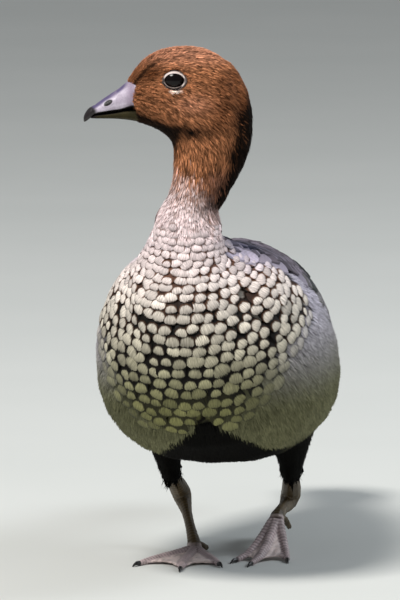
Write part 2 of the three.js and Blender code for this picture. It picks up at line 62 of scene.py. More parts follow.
# ---------------------------------------------------------------- small tools
def ramp(value, start, end):
    """0 at start, 1 at end and beyond, and smooth between them, whichever is the larger."""
    share = np.clip((value - start) / (end - start), 0, 1)
    return share * share * (3 - 2 * share)


def unit(vectors):
    """Vectors at length 1."""
    return vectors / np.maximum(np.linalg.norm(vectors, axis=-1, keepdims=True), TINY)


def column(values):
    """A list of numbers as a column, to multiply a list of vectors by."""
    return np.asarray(values)[..., None]


def colour(red, green, blue):
    """A colour given as screen values from 0 to 255, as the linear values that shaders take."""
    screen = np.array([red, green, blue]) / 255
    return np.where(screen <= 0.04045, screen / 12.92, ((screen + 0.055) / 1.055) ** 2.4)


def blend_of(share, first, second):
    """first where share is 0, second where it is 1."""
    return first + (second - first) * column(share)


def bell(*offsets):
    """1 where all offsets are 0, falling smoothly to nothing where any is well past 1."""
    return np.exp(-sum(offset**2 for offset in offsets))


def table_read(values, table):
    """A table's second column read where its first column has these values."""
    return np.interp(values, table[:, 0], table[:, 1])


def centre_of(node):
    """The middle of a CAD node's box."""
    low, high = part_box(node)
    return (np.array(low) + np.array(high)) / 2


def through(table, count):
    """A table's rows read at `count` even steps along a smooth curve through them."""
    table = np.array(table, float)
    padded = np.vstack([2 * table[0] - table[1], table, 2 * table[-1] - table[-2]])
    at = np.linspace(0, len(table) - 1 - TINY, count)
    low = at.astype(int)
    t = column(at - low)
    a, b, c, d = (padded[low + i] for i in range(4))
    return b + 0.5 * t * (c - a + t * (2 * a - 5 * b + 4 * c - d + t * (3 * (b - c) + d - a)))


HASH = np.array([127.1, 311.7, 74.7])  # large numbers that have no simple ratio, so cells come out unlike
HASH_SCALE = 43758.5453


def mottle(points, size, seed=0):
    """Soft noise from 0 to 1 with lumps of about that size."""
    place = points / size
    low = np.floor(place).astype(int)
    share = place - low
    share = share * share * (3 - 2 * share)
    total = np.zeros(len(points))
    for corner in np.ndindex(2, 2, 2):
        cell = low + corner
        mixed = np.sin(cell @ HASH + 13.7 * seed) * HASH_SCALE
        weight = np.prod(np.where(corner, share, 1 - share), axis=1)
        total += weight * (mixed - np.floor(mixed))
    return total


def along_line(points, line):
    """How far along a line through places in millimetres each point is, and how far off it."""
    line = np.array(line) * MM
    nearest = np.full(len(points), np.inf)
    far = np.zeros(len(points))
    done = 0.0
    for start, end in zip(line[:-1], line[1:]):
        step = end - start
        length = np.linalg.norm(step)
        share = np.clip((points - start) @ step / length**2, 0, 1)
        off = np.linalg.norm(points - start - column(share) * step, axis=1)
        far = np.where(off < nearest, done + share * length, far)
        nearest = np.minimum(off, nearest)
        done += length
    return far / MM, nearest / MM


# ---------------------------------------------------------------- places on the bird
# Places on the head are told from its origin: the eyes' middle lies this far forward and up from it.
EYE_FORWARD = 13.8
EYE_UP = 7.7
HEAD_LEFT = unit(centre_of("eye_left") - centre_of("eye_right"))
HEAD_FORWARD = np.cross(HEAD_LEFT, UP)
EYES_MIDDLE = (centre_of("eye_left") + centre_of("eye_right")) / 2
HEAD = EYES_MIDDLE - MM * (EYE_FORWARD * HEAD_FORWARD + EYE_UP * UP)
NECK_MIDDLE = HEAD + np.array([-2, 2, -46]) * MM
NECK_BASE = np.array([-5, -100, 252]) * MM  # the feathers of the body spread from below this place
TAIL_TIP = np.array([0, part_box("tail")[1].y / MM, 88]) * MM
BODY_AXIS_HEIGHT = 104  # the height of the body's long axis, in millimetres


def on_head(forward, left, up):
    """A place told in millimetres forward, left and up from the head's origin."""
    return HEAD + MM * (column(forward) * HEAD_FORWARD + column(left) * HEAD_LEFT + column(up) * UP)


def head_place(points):
    """How many millimetres forward, left and up of the head's origin points are."""
    away = (points - HEAD) / MM
    return away @ HEAD_FORWARD, away @ HEAD_LEFT, away[..., 2]


def body_angle(points):
    """How many degrees points are round the body's long axis from the middle of the back."""
    x, _, height = (points / MM).T
    return np.degrees(np.arctan2(np.abs(x), height - BODY_AXIS_HEIGHT))


# ---------------------------------------------------------------- surfaces
def link(name, mesh):
    """A new object in the scene."""
    piece = bpy.data.objects.new(name, mesh)
    bpy.context.scene.collection.objects.link(piece)
    return piece


def read(items, key, width, kind):
    """One property of all of a mesh's points, edges or triangles, as an array."""
    values = np.empty(len(items) * width, kind)
    items.foreach_get(key, values)
    return values.reshape(-1, width)


def point_array(mesh):
    """A mesh's points."""
    return read(mesh.vertices, "co", 3, np.float32).astype(float)


def triangle_array(mesh):
    """A mesh's triangles."""
    mesh.calc_loop_triangles()
    return read(mesh.loop_triangles, "vertices", 3, np.int32)


def normal_array(points, triangles):
    """Smooth normals at a mesh's points."""
    a, b, c = (points[triangles[:, corner]] for corner in range(3))
    faces = np.cross(b - a, c - a)
    normals = np.zeros_like(points)
    for corner in range(3):
        for axis in range(3):
            normals[:, axis] += np.bincount(triangles[:, corner], faces[:, axis], len(points))
    return unit(normals)


def smoothed(mesh, points, rounds, weights=(0.5, -0.52)):
    """A mesh's points drawn towards their neighbours' middle and pushed back out, so that facets go and
    size stays."""
    edges = read(mesh.edges, "vertices", 2, np.int32)
    ends = np.concatenate([edges, edges[:, ::-1]])
    count = np.maximum(np.bincount(ends[:, 0], minlength=len(points)), 1)
    for _ in range(rounds):
        for weight in weights:
            sums = [np.bincount(ends[:, 0], points[ends[:, 1], axis], len(points)) for axis in range(3)]
            middle = np.stack(sums, axis=1) / column(count)
            points = points + weight * (middle - points)
    return points


def remesh(piece, voxel, rounds):
    """Closes a piece's mesh into one skin of even faces and smooths it."""
    modifier = piece.modifiers.new("Skin", "REMESH")
    modifier.mode = "VOXEL"
    modifier.voxel_size = voxel
    graph = bpy.context.evaluated_depsgraph_get()
    mesh = bpy.data.meshes.new_from_object(piece.evaluated_get(graph))
    piece.modifiers.clear()
    piece.data = mesh
    set_points(piece, smoothed(mesh, point_array(mesh), rounds))
    mesh.shade_smooth()
    return piece


def remeshed(name, nodes, voxel, rounds, lumps=()):
    """One smooth closed mesh round several CAD nodes, and lumps told by their middle and half sizes."""
    gathered = bmesh.new()
    for node in nodes:
        gathered.from_mesh(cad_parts[node].data)
    for middle, half_sizes in lumps:
        shape = Matrix.Translation(Vector(middle)) @ Matrix.Diagonal((*half_sizes, 1.0))
        bmesh.ops.create_icosphere(gathered, subdivisions=3, radius=MM, matrix=shape)
    mesh = bpy.data.meshes.new(name)
    gathered.to_mesh(mesh)
    gathered.free()
    return remesh(link(name, mesh), voxel, rounds)


def set_points(piece, points):
    """Puts a piece's points at new places."""
    piece.data.vertices.foreach_set("co", points.astype(np.float32).ravel())
    piece.data.update()


def displaced(piece, heights):
    """Moves a piece's points out along their normals."""
    points = point_array(piece.data)
    normals = normal_array(points, triangle_array(piece.data))
    set_points(piece, points + normals * column(heights))


class Surface:
    """A closed mesh that points can be dropped onto, with smooth normals."""

    def __init__(self, points, triangles):
        self.points = points
        self.triangles = triangles
        self.normals = normal_array(points, triangles)
        self.tree = BVHTree.FromPolygons(points.tolist(), triangles.tolist())

    def at(self, values, corners, shares):
        """Values of the surface's points, read inside its triangles at shares of their corners."""
        return sum(values[corners[:, i]] * column(shares[i]) for i in range(3))

    def drop(self, points):
        """The nearest places on the surface to points, and the normals there."""
        found = [self.tree.find_nearest(point) for point in points.tolist()]
        places = np.array([hit[0][:] for hit in found])
        corners = self.triangles[[hit[2] for hit in found]]
        a, b, c = (self.points[corners[:, corner]] for corner in range(3))
        whole = np.cross(b - a, c - a)
        scale = np.maximum(np.einsum("ij,ij->i", whole, whole), 1e-24)
        share_b = np.einsum("ij,ij->i", np.cross(places - a, c - a), whole) / scale
        share_c = np.einsum("ij,ij->i", np.cross(b - a, places - a), whole) / scale
        shares = (1 - share_b - share_c, share_b, share_c)
        return places, unit(self.at(self.normals, corners, shares))

    def cast(self, starts, ways, reach):
        """Where rays first meet the surface, or come nearest to it at their reach, and the normals."""
        ends = starts + reach * ways
        for index, (start, way) in enumerate(zip(starts.tolist(), ways.tolist())):
            hit = self.tree.ray_cast(Vector(start), Vector(way), reach)[0]
            if hit:
                ends[index] = hit
        return self.drop(ends)

    def scatter(self, spacing):
        """Places spread over the surface, `spacing` apart at each point, and the normals there."""
        a, b, c = (self.points[self.triangles[:, corner]] for corner in range(3))
        area = np.linalg.norm(np.cross(b - a, c - a), axis=1) / 2
        wanted = area / spacing((a + b + c) / 3) ** 2
        count = np.floor(wanted + chance.random(len(wanted))).astype(int)
        chosen = np.repeat(np.arange(len(count)), count)
        share_b, share_c = chance.random((2, len(chosen)))
        beyond = share_b + share_c > 1
        share_b = np.where(beyond, 1 - share_b, share_b)
        share_c = np.where(beyond, 1 - share_c, share_c)
        shares = (1 - share_b - share_c, share_b, share_c)
        corners = self.triangles[chosen]
        return self.at(self.points, corners, shares), unit(self.at(self.normals, corners, shares))


# ---------------------------------------------------------------- the lie of the coat
def lie(points, normals):
    """Which way the feathers lie. They run from the bill over the head and down the neck, and spread
    from the base of the neck over the body to the tail, and down the thighs."""
    _, y, height = (points / MM).T
    on_skull = 1.5 * unit(points - on_head(38, 0, -4)) + 0.9 * unit(NECK_MIDDLE - points)
    on_neck = np.array([0.0, 0.0, -1.0]) + 0.25 * unit((points - NECK_MIDDLE) * [1, 1, 0])
    on_trunk = unit(points - NECK_BASE) + unit(TAIL_TIP - points)
    way = blend_of(ramp(height, 245, 222), on_skull, on_neck)
    way = blend_of(ramp(height, 206, 180), way, on_trunk)
    way = blend_of(ramp(y, 50, 90), way, np.array([0.0, 1.0, -0.3]))
    way = blend_of(ramp(height, 68, 58) * ramp(y, 20, 0), way, np.array([0.0, 0.35, -1.0]))
    way = way - column(np.einsum("ij,ij->i", way, normals)) * normals
    return unit(way)


def turned(ahead, normals, angles):
    """Directions turned about the normals."""
    aside = np.cross(normals, ahead)
    return ahead * column(np.cos(angles)) + aside * column(np.sin(angles))


def streaks(points, normals, across, along, seed):
    """Soft noise drawn out along the lie of the coat, with a mean of 0 and a spread of 1. Its streaks
    are `across` wide and `along` long."""
    ways = lie(points, normals)
    total = np.zeros(len(points))
    for step in np.linspace(-0.5, 0.5, 5):
        total += mottle(points + ways * column(step * along), across, seed)
    return (total - total.mean()) / max(total.std(), TINY)


# ---------------------------------------------------------------- meshes of the coat
PATCH = 0.003  # a tuft's size on the bake's map
ASKEW = [0.31, 0.17, 0.93]  # a direction that no axis of the body lies along


def unwrap(roots, centre, axis):
    """Places on an unwrap of the body's own shape: round an axis, and along it."""
    axis = unit(np.array(axis, float))
    side = unit(np.cross(axis, ASKEW))
    front = np.cross(axis, side)
    away = roots - centre
    place = np.stack([np.arctan2(away @ side, away @ front), away @ axis], axis=1)
    low = place.min(axis=0)
    high = place.max(axis=0)
    return 0.01 + 0.98 * (place - low) / np.maximum(high - low, TINY)


def coat_piece(name, points, triangles, attributes, patches, material):
    """A piece of the coat from arrays whose last axis holds a point's or a triangle's values. Attributes
    are by point, and so are places on the bake's map."""
    mesh = bpy.data.meshes.new(name)
    mesh.vertices.add(points.size // 3)
    mesh.vertices.foreach_set("co", points.astype(np.float32).ravel())
    mesh.loops.add(triangles.size)
    mesh.loops.foreach_set("vertex_index", triangles.astype(np.int32).ravel())
    mesh.polygons.add(triangles.size // 3)
    mesh.polygons.foreach_set("loop_start", np.arange(0, triangles.size, 3, dtype=np.int32))
    mesh.update(calc_edges=True)
    mesh.shade_smooth()
    for key, values in attributes.items():
        kind, field = ("FLOAT_COLOR", "color") if values.shape[-1] == 4 else ("FLOAT_VECTOR", "vector")
        made = mesh.attributes.new(key, kind, "POINT")
        made.data.foreach_set(field, values.astype(np.float32).ravel())
    layer = mesh.uv_layers.new(name="OFBake")
    layer.data.foreach_set("uv", patches.reshape(-1, 2)[triangles.ravel()].astype(np.float32).ravel())
    mesh.materials.append(material)
    piece = link(name, mesh)
    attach(piece, "root")


def with_alpha(tint, alpha=1.0):
    """Colours as the four values an attribute holds."""
    last = np.broadcast_to(column(alpha), (*tint.shape[:-1], 1))
    return np.concatenate([tint, last], axis=-1)


@dataclass
class Tufts:
    """Where hair-like feathers are rooted and how they look. Sizes are one number or one for each."""

    roots: np.ndarray
    normals: np.ndarray
    length: np.ndarray
    width: np.ndarray
    depth: np.ndarray
    tint: np.ndarray
    raised: np.ndarray  # how far each tip stands over the coat
    sway: float = 0.15


# A tuft's points are its root, three across its middle and its tip.
# Brightness at each point: painted shade darkens the root, and the tip is a little lighter.
TUFT_PAINTED_SHADE = np.array([0.45, 1.0, 1.0, 1.0, 1.15])
TUFT_PLACES = np.array([[0, -0.5], [-0.5, 0], [0, 0], [0.5, 0], [0, 0.5]])
TUFT_TRIANGLES = np.array([[0, 2, 1], [0, 3, 2], [1, 2, 4], [2, 3, 4]])
CUFF_TOP = 54  # below this height in millimetres the thighs' feathers hang free over the bare legs


def tufts(name, coat, material, around):
    """Hair-like feathers. Each has a root, three points across its middle and a tip, and is painted darker at
    its root, as shade down in the coat, and a little lighter at its tip."""
    count = len(coat.roots)
    angles = coat.sway * chance.standard_normal(count)
    length = coat.length * (0.8 + 0.4 * chance.random(count))
    ahead = turned(lie(coat.roots, coat.normals), coat.normals, angles)
    middle, middle_normals = skin_surface.drop(coat.roots + ahead * column(length / 2))
    onward = turned(lie(middle, middle_normals), middle_normals, angles)
    tip, tip_normals = skin_surface.drop(middle + onward * column(length / 2))
    hanging = ramp(coat.roots[:, 2] / MM, CUFF_TOP, CUFF_TOP - 4) * ramp(coat.normals[:, 2], -0.9, -0.6)
    middle = blend_of(hanging, middle, coat.roots + ahead * column(length / 2))
    tip = blend_of(hanging, tip, coat.roots + ahead * column(0.85 * length))
    across = np.cross(middle_normals, onward) * column(coat.width / 2)
    lift = coat.raised - 0.3 * coat.depth * chance.random(count)
    middle = middle + middle_normals * column(0.45 * (lift - coat.depth))
    ridge = middle + middle_normals * column(0.22 * coat.width)
    root = coat.roots - coat.normals * column(coat.depth)
    end = tip + tip_normals * column(lift)
    points = np.stack([root, middle - across, ridge, middle + across, end], axis=1)
    tint = coat.tint[:, None] * TUFT_PAINTED_SHADE[None, :, None]
    patches = unwrap(coat.roots, *around)[:, None] + PATCH * TUFT_PLACES
    triangles = TUFT_TRIANGLES[None] + len(TUFT_PAINTED_SHADE) * np.arange(count)[:, None, None]
    coat_piece(name, points, triangles, {"tint": with_alpha(tint)}, patches, material)


@dataclass
class Vane:
    """The form of a broad feather. Shares are of its length or its width."""

    rows: int = 8  # faces along it
    columns: int = 15  # faces across it
    rounding: float = 0.16  # how much shorter its edges are than its middle
    corner: float = 2.4  # how square its end is
    fringe: float = 0.03  # how deep its end is notched
    base: float = 0.35  # how wide its root is
    widest: float = 0.55  # how far along it is full width
    settle: float = 1.2  # how quickly it rises out of the coat
    over: float = 0.15 * MM  # how far it stands over the coat
    cup: float = 0.02  # how far its edges bend down, in mm for each square mm off its middle
    curl: float = 0.4 * MM  # how far its end bends down
    keel: float = 0.1 * MM  # height of the ridge down its middle
    patch: float = PATCH  # its size on the bake's map


@dataclass
class Plumes:
    """Where broad feathers lie, from root to tip, and how they look. Each is one value or one for each."""

    spine: np.ndarray
    rise: np.ndarray
    width: np.ndarray
    depth: np.ndarray
    ground: np.ndarray
    mark: np.ndarray
    reach: np.ndarray = 1.0  # how large their mark is, which the material reads
    rim: np.ndarray = 0.0  # how strongly their end is edged, which the material reads
    lift: np.ndarray = 0.0  # how far each is raised over the others


def vanes(name, plumes, form, material, around):
    """Broad feathers, each a curved vane with a rounded, fringed end."""
    count = len(plumes.spine)
    ways = unit(np.gradient(plumes.spine, axis=1))
    aside = unit(np.cross(plumes.rise, ways))
    u = np.linspace(-1, 1, form.columns + 1)
    fringe = form.fringe * chance.random((count, len(u)))
    fringe[:, 1::2] += 0.8 * form.fringe
    ends = (1 - form.rounding * np.abs(u) ** form.corner)[None] * (1 - fringe)
    along = np.linspace(0, 1, form.rows + 1)[None, :, None] * ends[:, None, :]
    place = np.clip(along * form.rows, 0, form.rows - 1e-6)
    low = place.astype(int)
    share = place - low
    each = np.arange(count)[:, None, None]

    def at(values):
        return blend_of(share, values[each, low], values[each, low + 1])

    def per_feather(values):
        return np.broadcast_to(values, count)[:, None, None]

    swell = np.sin(np.clip(along / form.widest, 0, 1) * np.pi / 2) ** 0.9
    across = u[None, None] * (form.base + (1 - form.base) * swell)
    x = across * per_feather(plumes.width) / 2
    height = form.over + per_feather(plumes.lift) - per_feather(plumes.depth) * (1 - along) ** form.settle
    height = height + form.keel * (1 - np.abs(u)) - form.cup * x * x / MM - form.curl * ramp(along, 0.72, 1)
    points = at(plumes.spine) + at(aside) * column(x) + at(plumes.rise) * column(height)
    random = np.broadcast_to(per_feather(chance.random(count)), along.shape)
    vane = np.stack([across, along, random], axis=-1)

    row, side = np.meshgrid(np.arange(form.rows), np.arange(form.columns), indexing="ij")
    a = (row * len(u) + side).ravel()
    b = a + len(u)
    pattern = np.concatenate([np.stack([a, a + 1, b], axis=1), np.stack([a + 1, b + 1, b], axis=1)])
    triangles = pattern[None] + (form.rows + 1) * len(u) * np.arange(count)[:, None, None]
    local = np.stack([across / 2, along - 0.5], axis=-1)
    patches = unwrap(plumes.spine[:, 0], *around)[:, None, None] + form.patch * local
    shape = (count, form.rows + 1, len(u), 4)
    ground = with_alpha(plumes.ground, np.broadcast_to(plumes.rim, count))
    mark = with_alpha(plumes.mark, np.broadcast_to(plumes.reach, count))
    attributes = {
        "ground": np.broadcast_to(ground[:, None, None], shape),
        "mark": np.broadcast_to(mark[:, None, None], shape),
        "vane": vane,
    }
    coat_piece(name, points, triangles, attributes, patches, material)


def spines_to(tips, normals, length, rows, sway):
    """Feathers' middle lines, from roots to these tips, and their normals. Each is followed back from
    its tip against the lie of the coat."""
    drift = sway * chance.standard_normal(len(tips))
    places, rises = [tips], [normals]
    for _ in range(rows):
        back = turned(lie(places[-1], rises[-1]), rises[-1], drift)
        place, rise = skin_surface.drop(places[-1] - back * column(length / rows))
        places.append(place)
        rises.append(rise)
    return np.stack(places[::-1], axis=1), np.stack(rises[::-1], axis=1)


def respaced(line, count):
    """A closed line with its points evenly spaced."""
    ring = np.vstack([line, line[:1]])
    far = np.concatenate([[0], np.cumsum(np.linalg.norm(np.diff(ring, axis=0), axis=1))])
    at = np.linspace(0, far[-1], count, endpoint=False)
    return np.stack([np.interp(at, far, ring[:, axis]) for axis in range(3)], axis=1)


def level_ring(centre, count=360):
    """A closed line where the level plane through a place inside the skin meets it."""
    angles = np.linspace(0, 2 * math.pi, count, endpoint=False)
    ways = np.stack([np.cos(angles), np.sin(angles), 0 * angles], axis=1)
    hits = [skin_surface.tree.ray_cast(Vector(centre), Vector(way))[0] for way in ways]
    return np.array([hit[:] for hit in hits])


def places_in_rows(line, rows, pace, spacing):
    """Places in rows that start at a closed line and follow the lie of the coat, each row set half a
    place aside from the last. Counts go in fours, so rows stay in step at the front, back and sides."""
    found = []
    for row in range(rows):
        ring = np.vstack([line, line[:1]])
        gaps = np.linalg.norm(np.diff(ring, axis=0), axis=1) / spacing(ring[:-1])
        far = np.concatenate([[0], np.cumsum(gaps)])
        count = 4 * max(int(round(far[-1] / 4)), 1)
        at = (np.arange(count) + 0.5 * (row % 2)) * far[-1] / count
        found.append(np.stack([np.interp(at % far[-1], far, ring[:, axis]) for axis in range(3)], axis=1))
        line, normals = skin_surface.drop(line)
        line = line + lie(line, normals) * column(pace(line))
        line = 0.5 * line + 0.25 * (np.roll(line, 1, axis=0) + np.roll(line, -1, axis=0))
        line = respaced(skin_surface.drop(line)[0], len(line))
    return np.vstack(found)


# ---------------------------------------------------------------- materials
class Shader:
    """A material under construction, with short ways to add nodes."""

    def __init__(self, name, roughness, specular=0.5):
        self.material = bpy.data.materials.new(name)
        self.material.use_nodes = True
        self.tree = self.material.node_tree
        self.surface = self.tree.nodes["Principled BSDF"]
        self.surface.inputs["Roughness"].default_value = roughness
        self.surface.inputs["Specular IOR Level"].default_value = specular

    def feed(self, socket, value):
        if isinstance(value, bpy.types.NodeSocket):
            self.tree.links.new(value, socket)
        elif isinstance(value, (int, float)):
            socket.default_value = value
        else:
            socket.default_value = (*value, 1.0) if len(value) == 3 and socket.type == "RGBA" else value

    def math(self, operation, *values):
        node = self.tree.nodes.new("ShaderNodeMath")
        node.operation = operation
        for socket, value in zip(node.inputs, values):
            self.feed(socket, value)
        return node.outputs[0]

    def mix(self, share, first, second, how="MIX"):
        node = self.tree.nodes.new("ShaderNodeMix")
        node.data_type = "RGBA"
        node.blend_type = how
        self.feed(node.inputs[0], share)
        self.feed(node.inputs[6], first)
        self.feed(node.inputs[7], second)
        return node.outputs[2]

    def shade(self, tint, tone):
        """A colour made lighter or darker by a number."""
        return self.mix(1.0, tint, self.vector(tone, tone, tone), "MULTIPLY")

    def ramp(self, value, start, end, low=0.0, high=1.0):
        node = self.tree.nodes.new("ShaderNodeMapRange")
        node.interpolation_type = "SMOOTHSTEP"
        for key, number in (("From Min", start), ("From Max", end), ("To Min", low), ("To Max", high)):
            node.inputs[key].default_value = number
        self.feed(node.inputs["Value"], value)
        return node.outputs["Result"]

    def attribute(self, name, output="Color"):
        node = self.tree.nodes.new("ShaderNodeAttribute")
        node.attribute_name = name
        return node.outputs[output]

    def parts(self, vector):
        node = self.tree.nodes.new("ShaderNodeSeparateXYZ")
        self.feed(node.inputs[0], vector)
        return node.outputs

    def vector(self, x, y, z):
        node = self.tree.nodes.new("ShaderNodeCombineXYZ")
        for socket, value in zip(node.inputs, (x, y, z)):
            self.feed(socket, value)
        return node.outputs[0]

    def place(self):
        return self.tree.nodes.new("ShaderNodeTexCoord").outputs["Object"]

    def noise(self, vector, scale, detail=2.0):
        node = self.tree.nodes.new("ShaderNodeTexNoise")
        self.feed(node.inputs["Vector"], vector)
        node.inputs["Scale"].default_value = scale
        node.inputs["Detail"].default_value = detail
        return node.outputs[0]

    def bump(self, height, strength, distance):
        node = self.tree.nodes.new("ShaderNodeBump")
        node.inputs["Strength"].default_value = strength
        node.inputs["Distance"].default_value = distance
        self.feed(node.inputs["Height"], height)
        self.feed(self.surface.inputs["Normal"], node.outputs[0])

    def colour(self, value):
        self.feed(self.surface.inputs["Base Color"], value)
        return self.material


def tuft_material(name, lump, contrast):
    """Hair-like feathers in the colours painted on them, with a fine mottle. lump is its size."""
    shader = Shader(name, roughness=0.7, specular=0.07)
    grain = shader.noise(shader.place(), 1 / lump, detail=3.0)
    tone = shader.ramp(grain, 0.3, 0.7, 1 - contrast, 1 + contrast / 2)
    return shader.colour(shader.shade(shader.attribute("tint"), tone))


def vane_material(
    name, middle, reach, half_width, rim_from, rim_colour, fray=0.3, gloss=0.62, barb=0.12, halo=0.0,
    teeth=0.0, dome=3.0,
):
    """Broad feathers with a patch of their mark colour on their ground colour, and an edged end.
    middle and reach tell where along the vane the patch lies, fray how ragged its outline is and dome how
    square. halo is how strongly it is ringed, and teeth how strongly dark gaps part the barbs at the end;
    with teeth the end is also painted darker, as shade."""
    shader = Shader(name, roughness=gloss, specular=0.16)
    across, along, luck = shader.parts(shader.attribute("vane", "Vector"))
    off = shader.math("ABSOLUTE", across)
    strands = shader.vector(
        shader.math("MULTIPLY", across, 9.0), along, shader.math("MULTIPLY", luck, 40.0)
    )
    wobble = shader.math("MULTIPLY_ADD", shader.noise(strands, 1.6), fray, -fray / 2)
    size = shader.attribute("mark", "Alpha")
    half = shader.math("MULTIPLY", size, half_width)
    sideways = shader.math("POWER", shader.math("DIVIDE", off, half), dome)
    from_middle = shader.math("DIVIDE", shader.math("SUBTRACT", along, middle), reach)
    endways = shader.math("POWER", shader.math("ABSOLUTE", shader.math("DIVIDE", from_middle, size)), dome)
    far = shader.math("ADD", shader.math("ADD", sideways, endways), wobble)
    patch = shader.ramp(far, 1.16, 0.78)
    if teeth:
        tone = shader.ramp(shader.noise(strands, 2.6, detail=3.0), 0.36, 0.62, 1 - barb, 1 + barb / 2)
    else:
        slant = shader.math("MULTIPLY_ADD", off, -14.0, shader.math("MULTIPLY", along, 50.0))
        uneven = shader.math("MULTIPLY", shader.noise(strands, 3.0), 9.0)
        barbs = shader.math("SINE", shader.math("ADD", slant, uneven))
        tone = shader.ramp(barbs, -1.0, 1.0, 1 - barb, 1 + barb / 2)
    ground = shader.attribute("ground")
    strength = shader.math("MULTIPLY", shader.attribute("ground", "Alpha"), halo)
    ringed = shader.mix(shader.math("MULTIPLY", shader.ramp(far, 1.7, 1.1), strength), ground, rim_colour)
    tint = shader.mix(patch, ringed, shader.attribute("mark"))
    rounded = shader.math("MULTIPLY", shader.math("POWER", off, 3.0), 0.5 * (1 - rim_from))
    edge = shader.math("ADD", along, rounded)
    rim = shader.math("MULTIPLY", shader.ramp(edge, rim_from, 1.0), shader.attribute("ground", "Alpha"))
    tint = shader.mix(rim, tint, rim_colour)
    if teeth:
        comb = shader.vector(shader.math("MULTIPLY", across, 9.0), shader.math("MULTIPLY", luck, 60.0), 0.0)
        depth = shader.ramp(edge, 0.8, 1.0, 0.0, 0.5)
        gaps = shader.ramp(shader.math("ADD", shader.noise(comb, 1.5), depth), 0.76, 0.86)
        tint = shader.mix(shader.math("MULTIPLY", gaps, teeth), tint, ground)
        # Painted shade: each feather darker towards its end.
        tint = shader.shade(tint, shader.ramp(edge, 0.66, 1.0, 1.0, 0.55))
        shader.bump(patch, 0.7, 0.45 * MM)
    return shader.colour(shader.shade(tint, tone))


def horn_material(name, roughness, grain, depth, specular=0.5):
    """Bare skin or horn in the colours painted on its points, with fine grain."""
    shader = Shader(name, roughness, specular)
    fine = shader.noise(shader.place(), grain, detail=4.0)
    shader.bump(fine, 0.5, depth)
    return shader.colour(shader.shade(shader.attribute("tint"), shader.ramp(fine, 0.3, 0.7, 0.9, 1.07)))


def paint(piece, tint, material):
    """Gives each of a piece's points its colour."""
    made = piece.data.attributes.new("tint", "FLOAT_COLOR", "POINT")
    made.data.foreach_set("color", with_alpha(tint).astype(np.float32).ravel())
    piece.data.materials.clear()
    piece.data.materials.append(material)


# ---------------------------------------------------------------- the skin under the coat
FLESH = ["head", "mane", "neck", "trunk", "tail", "wing_left", "wing_right", "thigh_left", "thigh_right"]
SKIN_VOXEL = 1.6 * MM
SKIN_GROW = 0.35 * MM
# Feathers fill the hollow between the mane's tip and the neck.
MANE_HOLLOW = (on_head(-9.6, 0, -53.5), (4.2, 4.6, 6.2))
SOFTENING_ROUNDS = 120


def soft_places(points):
    """1 where the body's parts run into each other under the feathers: the shoulders and the back."""
    x, y, height = (points / MM).T
    nose = np.sqrt((np.abs(x) - 33) ** 2 + (y + 110) ** 2 + (height - 162) ** 2)
    back = ramp(np.abs(x), 40, 28) * ramp(height, 128, 138) * ramp(height, 192, 180) * ramp(y, -100, -88)
    return np.maximum(ramp(nose, 37, 21), 0.8 * back * ramp(y, 60, 30))


skin = remeshed("skin", FLESH, SKIN_VOXEL, rounds=8, lumps=[MANE_HOLLOW])
skin_triangles = triangle_array(skin.data)
skin_points = point_array(skin.data)
softer = smoothed(skin.data, skin_points, SOFTENING_ROUNDS, weights=(0.5,))
skin_points = blend_of(soft_places(skin_points), skin_points, softer)
skin_points = skin_points + normal_array(skin_points, skin_triangles) * SKIN_GROW
skin_surface = Surface(skin_points, skin_triangles)


def coat_depth(points):
    """How deep the skin lies under the tips of the coat."""
    height = points[:, 2] / MM
    depth = 0.9 + 1.0 * ramp(height, 228, 200) + 0.8 * ramp(height, 196, 170)
    depth = depth - 1.9 * ramp(points[:, 1] / MM, 30, 75)
    return depth * MM


# ---------------------------------------------------------------- the bird's markings
RUST = colour(150, 98, 66)
RUST_LIGHT = colour(178, 124, 98)
RUST_DARK = colour(74, 40, 20)
BLACK_BROWN = colour(13, 8, 5)
NAPE_BLACK = colour(16, 9, 6)
NECK_PALE = colour(244, 224, 224)
NECK_BROWN = colour(112, 76, 62)
CREAM = colour(252, 240, 230)
HALO = colour(136, 92, 62)
# Painted shade with green bounce light, which the pale breast turns to lower down.
OLIVE_SHADE = colour(130, 128, 82)
BELLY = colour(7, 6, 4)
# The flank's colour high up, and low down a darker olive that is painted shade with green bounce light.
FLANK_HIGH = colour(202, 196, 208)
FLANK_SHADED = colour(104, 103, 76)
MANTLE_BLUE = colour(60, 61, 88)
MANTLE_GREY = colour(118, 108, 118)
MANTLE_EDGE = colour(196, 186, 204)
WING_GREY = colour(124, 118, 118)
WING_BEND = colour(58, 60, 58)
BLACK = colour(20, 18, 20)

# The mantle's front edge: how far aside, and how far back.
SHOULDER_EDGE = np.array(
    [[0, -101], [20, -101], [30, -106], [36, -100], [42, -89], [47, -72], [50, -56], [56, -44], [70, -20]]
)
# The wing's lower edge: how far back, and how high.
WING_EDGE = np.array(
    [[-124, 172], [-100, 168], [-89, 163], [-72, 155], [-44, 145], [-10, 126], [20, 114], [46, 107],
     [118, 104]]
)
# The black of the nape starts this far forward at each height on the head.
NAPE_EDGE = np.array([[-60, -5], [-52, -10], [-46, -13], [-31, -17.5], [-15, -20.5], [-4, -23.5], [6, -29]])
# The painted shade under the chin and throat starts at this height at each place forward on the head.
CHIN_EDGE = np.array([[9, -16.5], [13, -16.7], [24, -13.3], [35, -8.7]])
# The feathers of the face reach this far forward at each height: over the bill's root, back at its lobes.
FACE_EDGE = np.array(
    [[-9, 34.6], [-8, 34.8], [-6.5, 35.1], [-2.4, 36.8], [1.7, 36.5], [4.4, 35.0], [5.4, 34.8], [6.2, 41]]
)
# A crease runs up the brow from the bill, where shade is painted dark, in millimetres.
BROW_CREASE = on_head([35, 32, 28, 24], [0, 0, 0, 0], [6, 10, 14.3, 17]) / MM


def upper_side(points):
    """1 over the mantle, back and folded wings, 0 elsewhere."""
    x, y, height = (points / MM).T
    shoulder = table_read(np.abs(x), SHOULDER_EDGE)
    edge = table_read(y, WING_EDGE)
    return ramp(y - shoulder, -2, 2) * ramp(height - edge, -1.5, 1.5) * ramp(height, 194, 187)


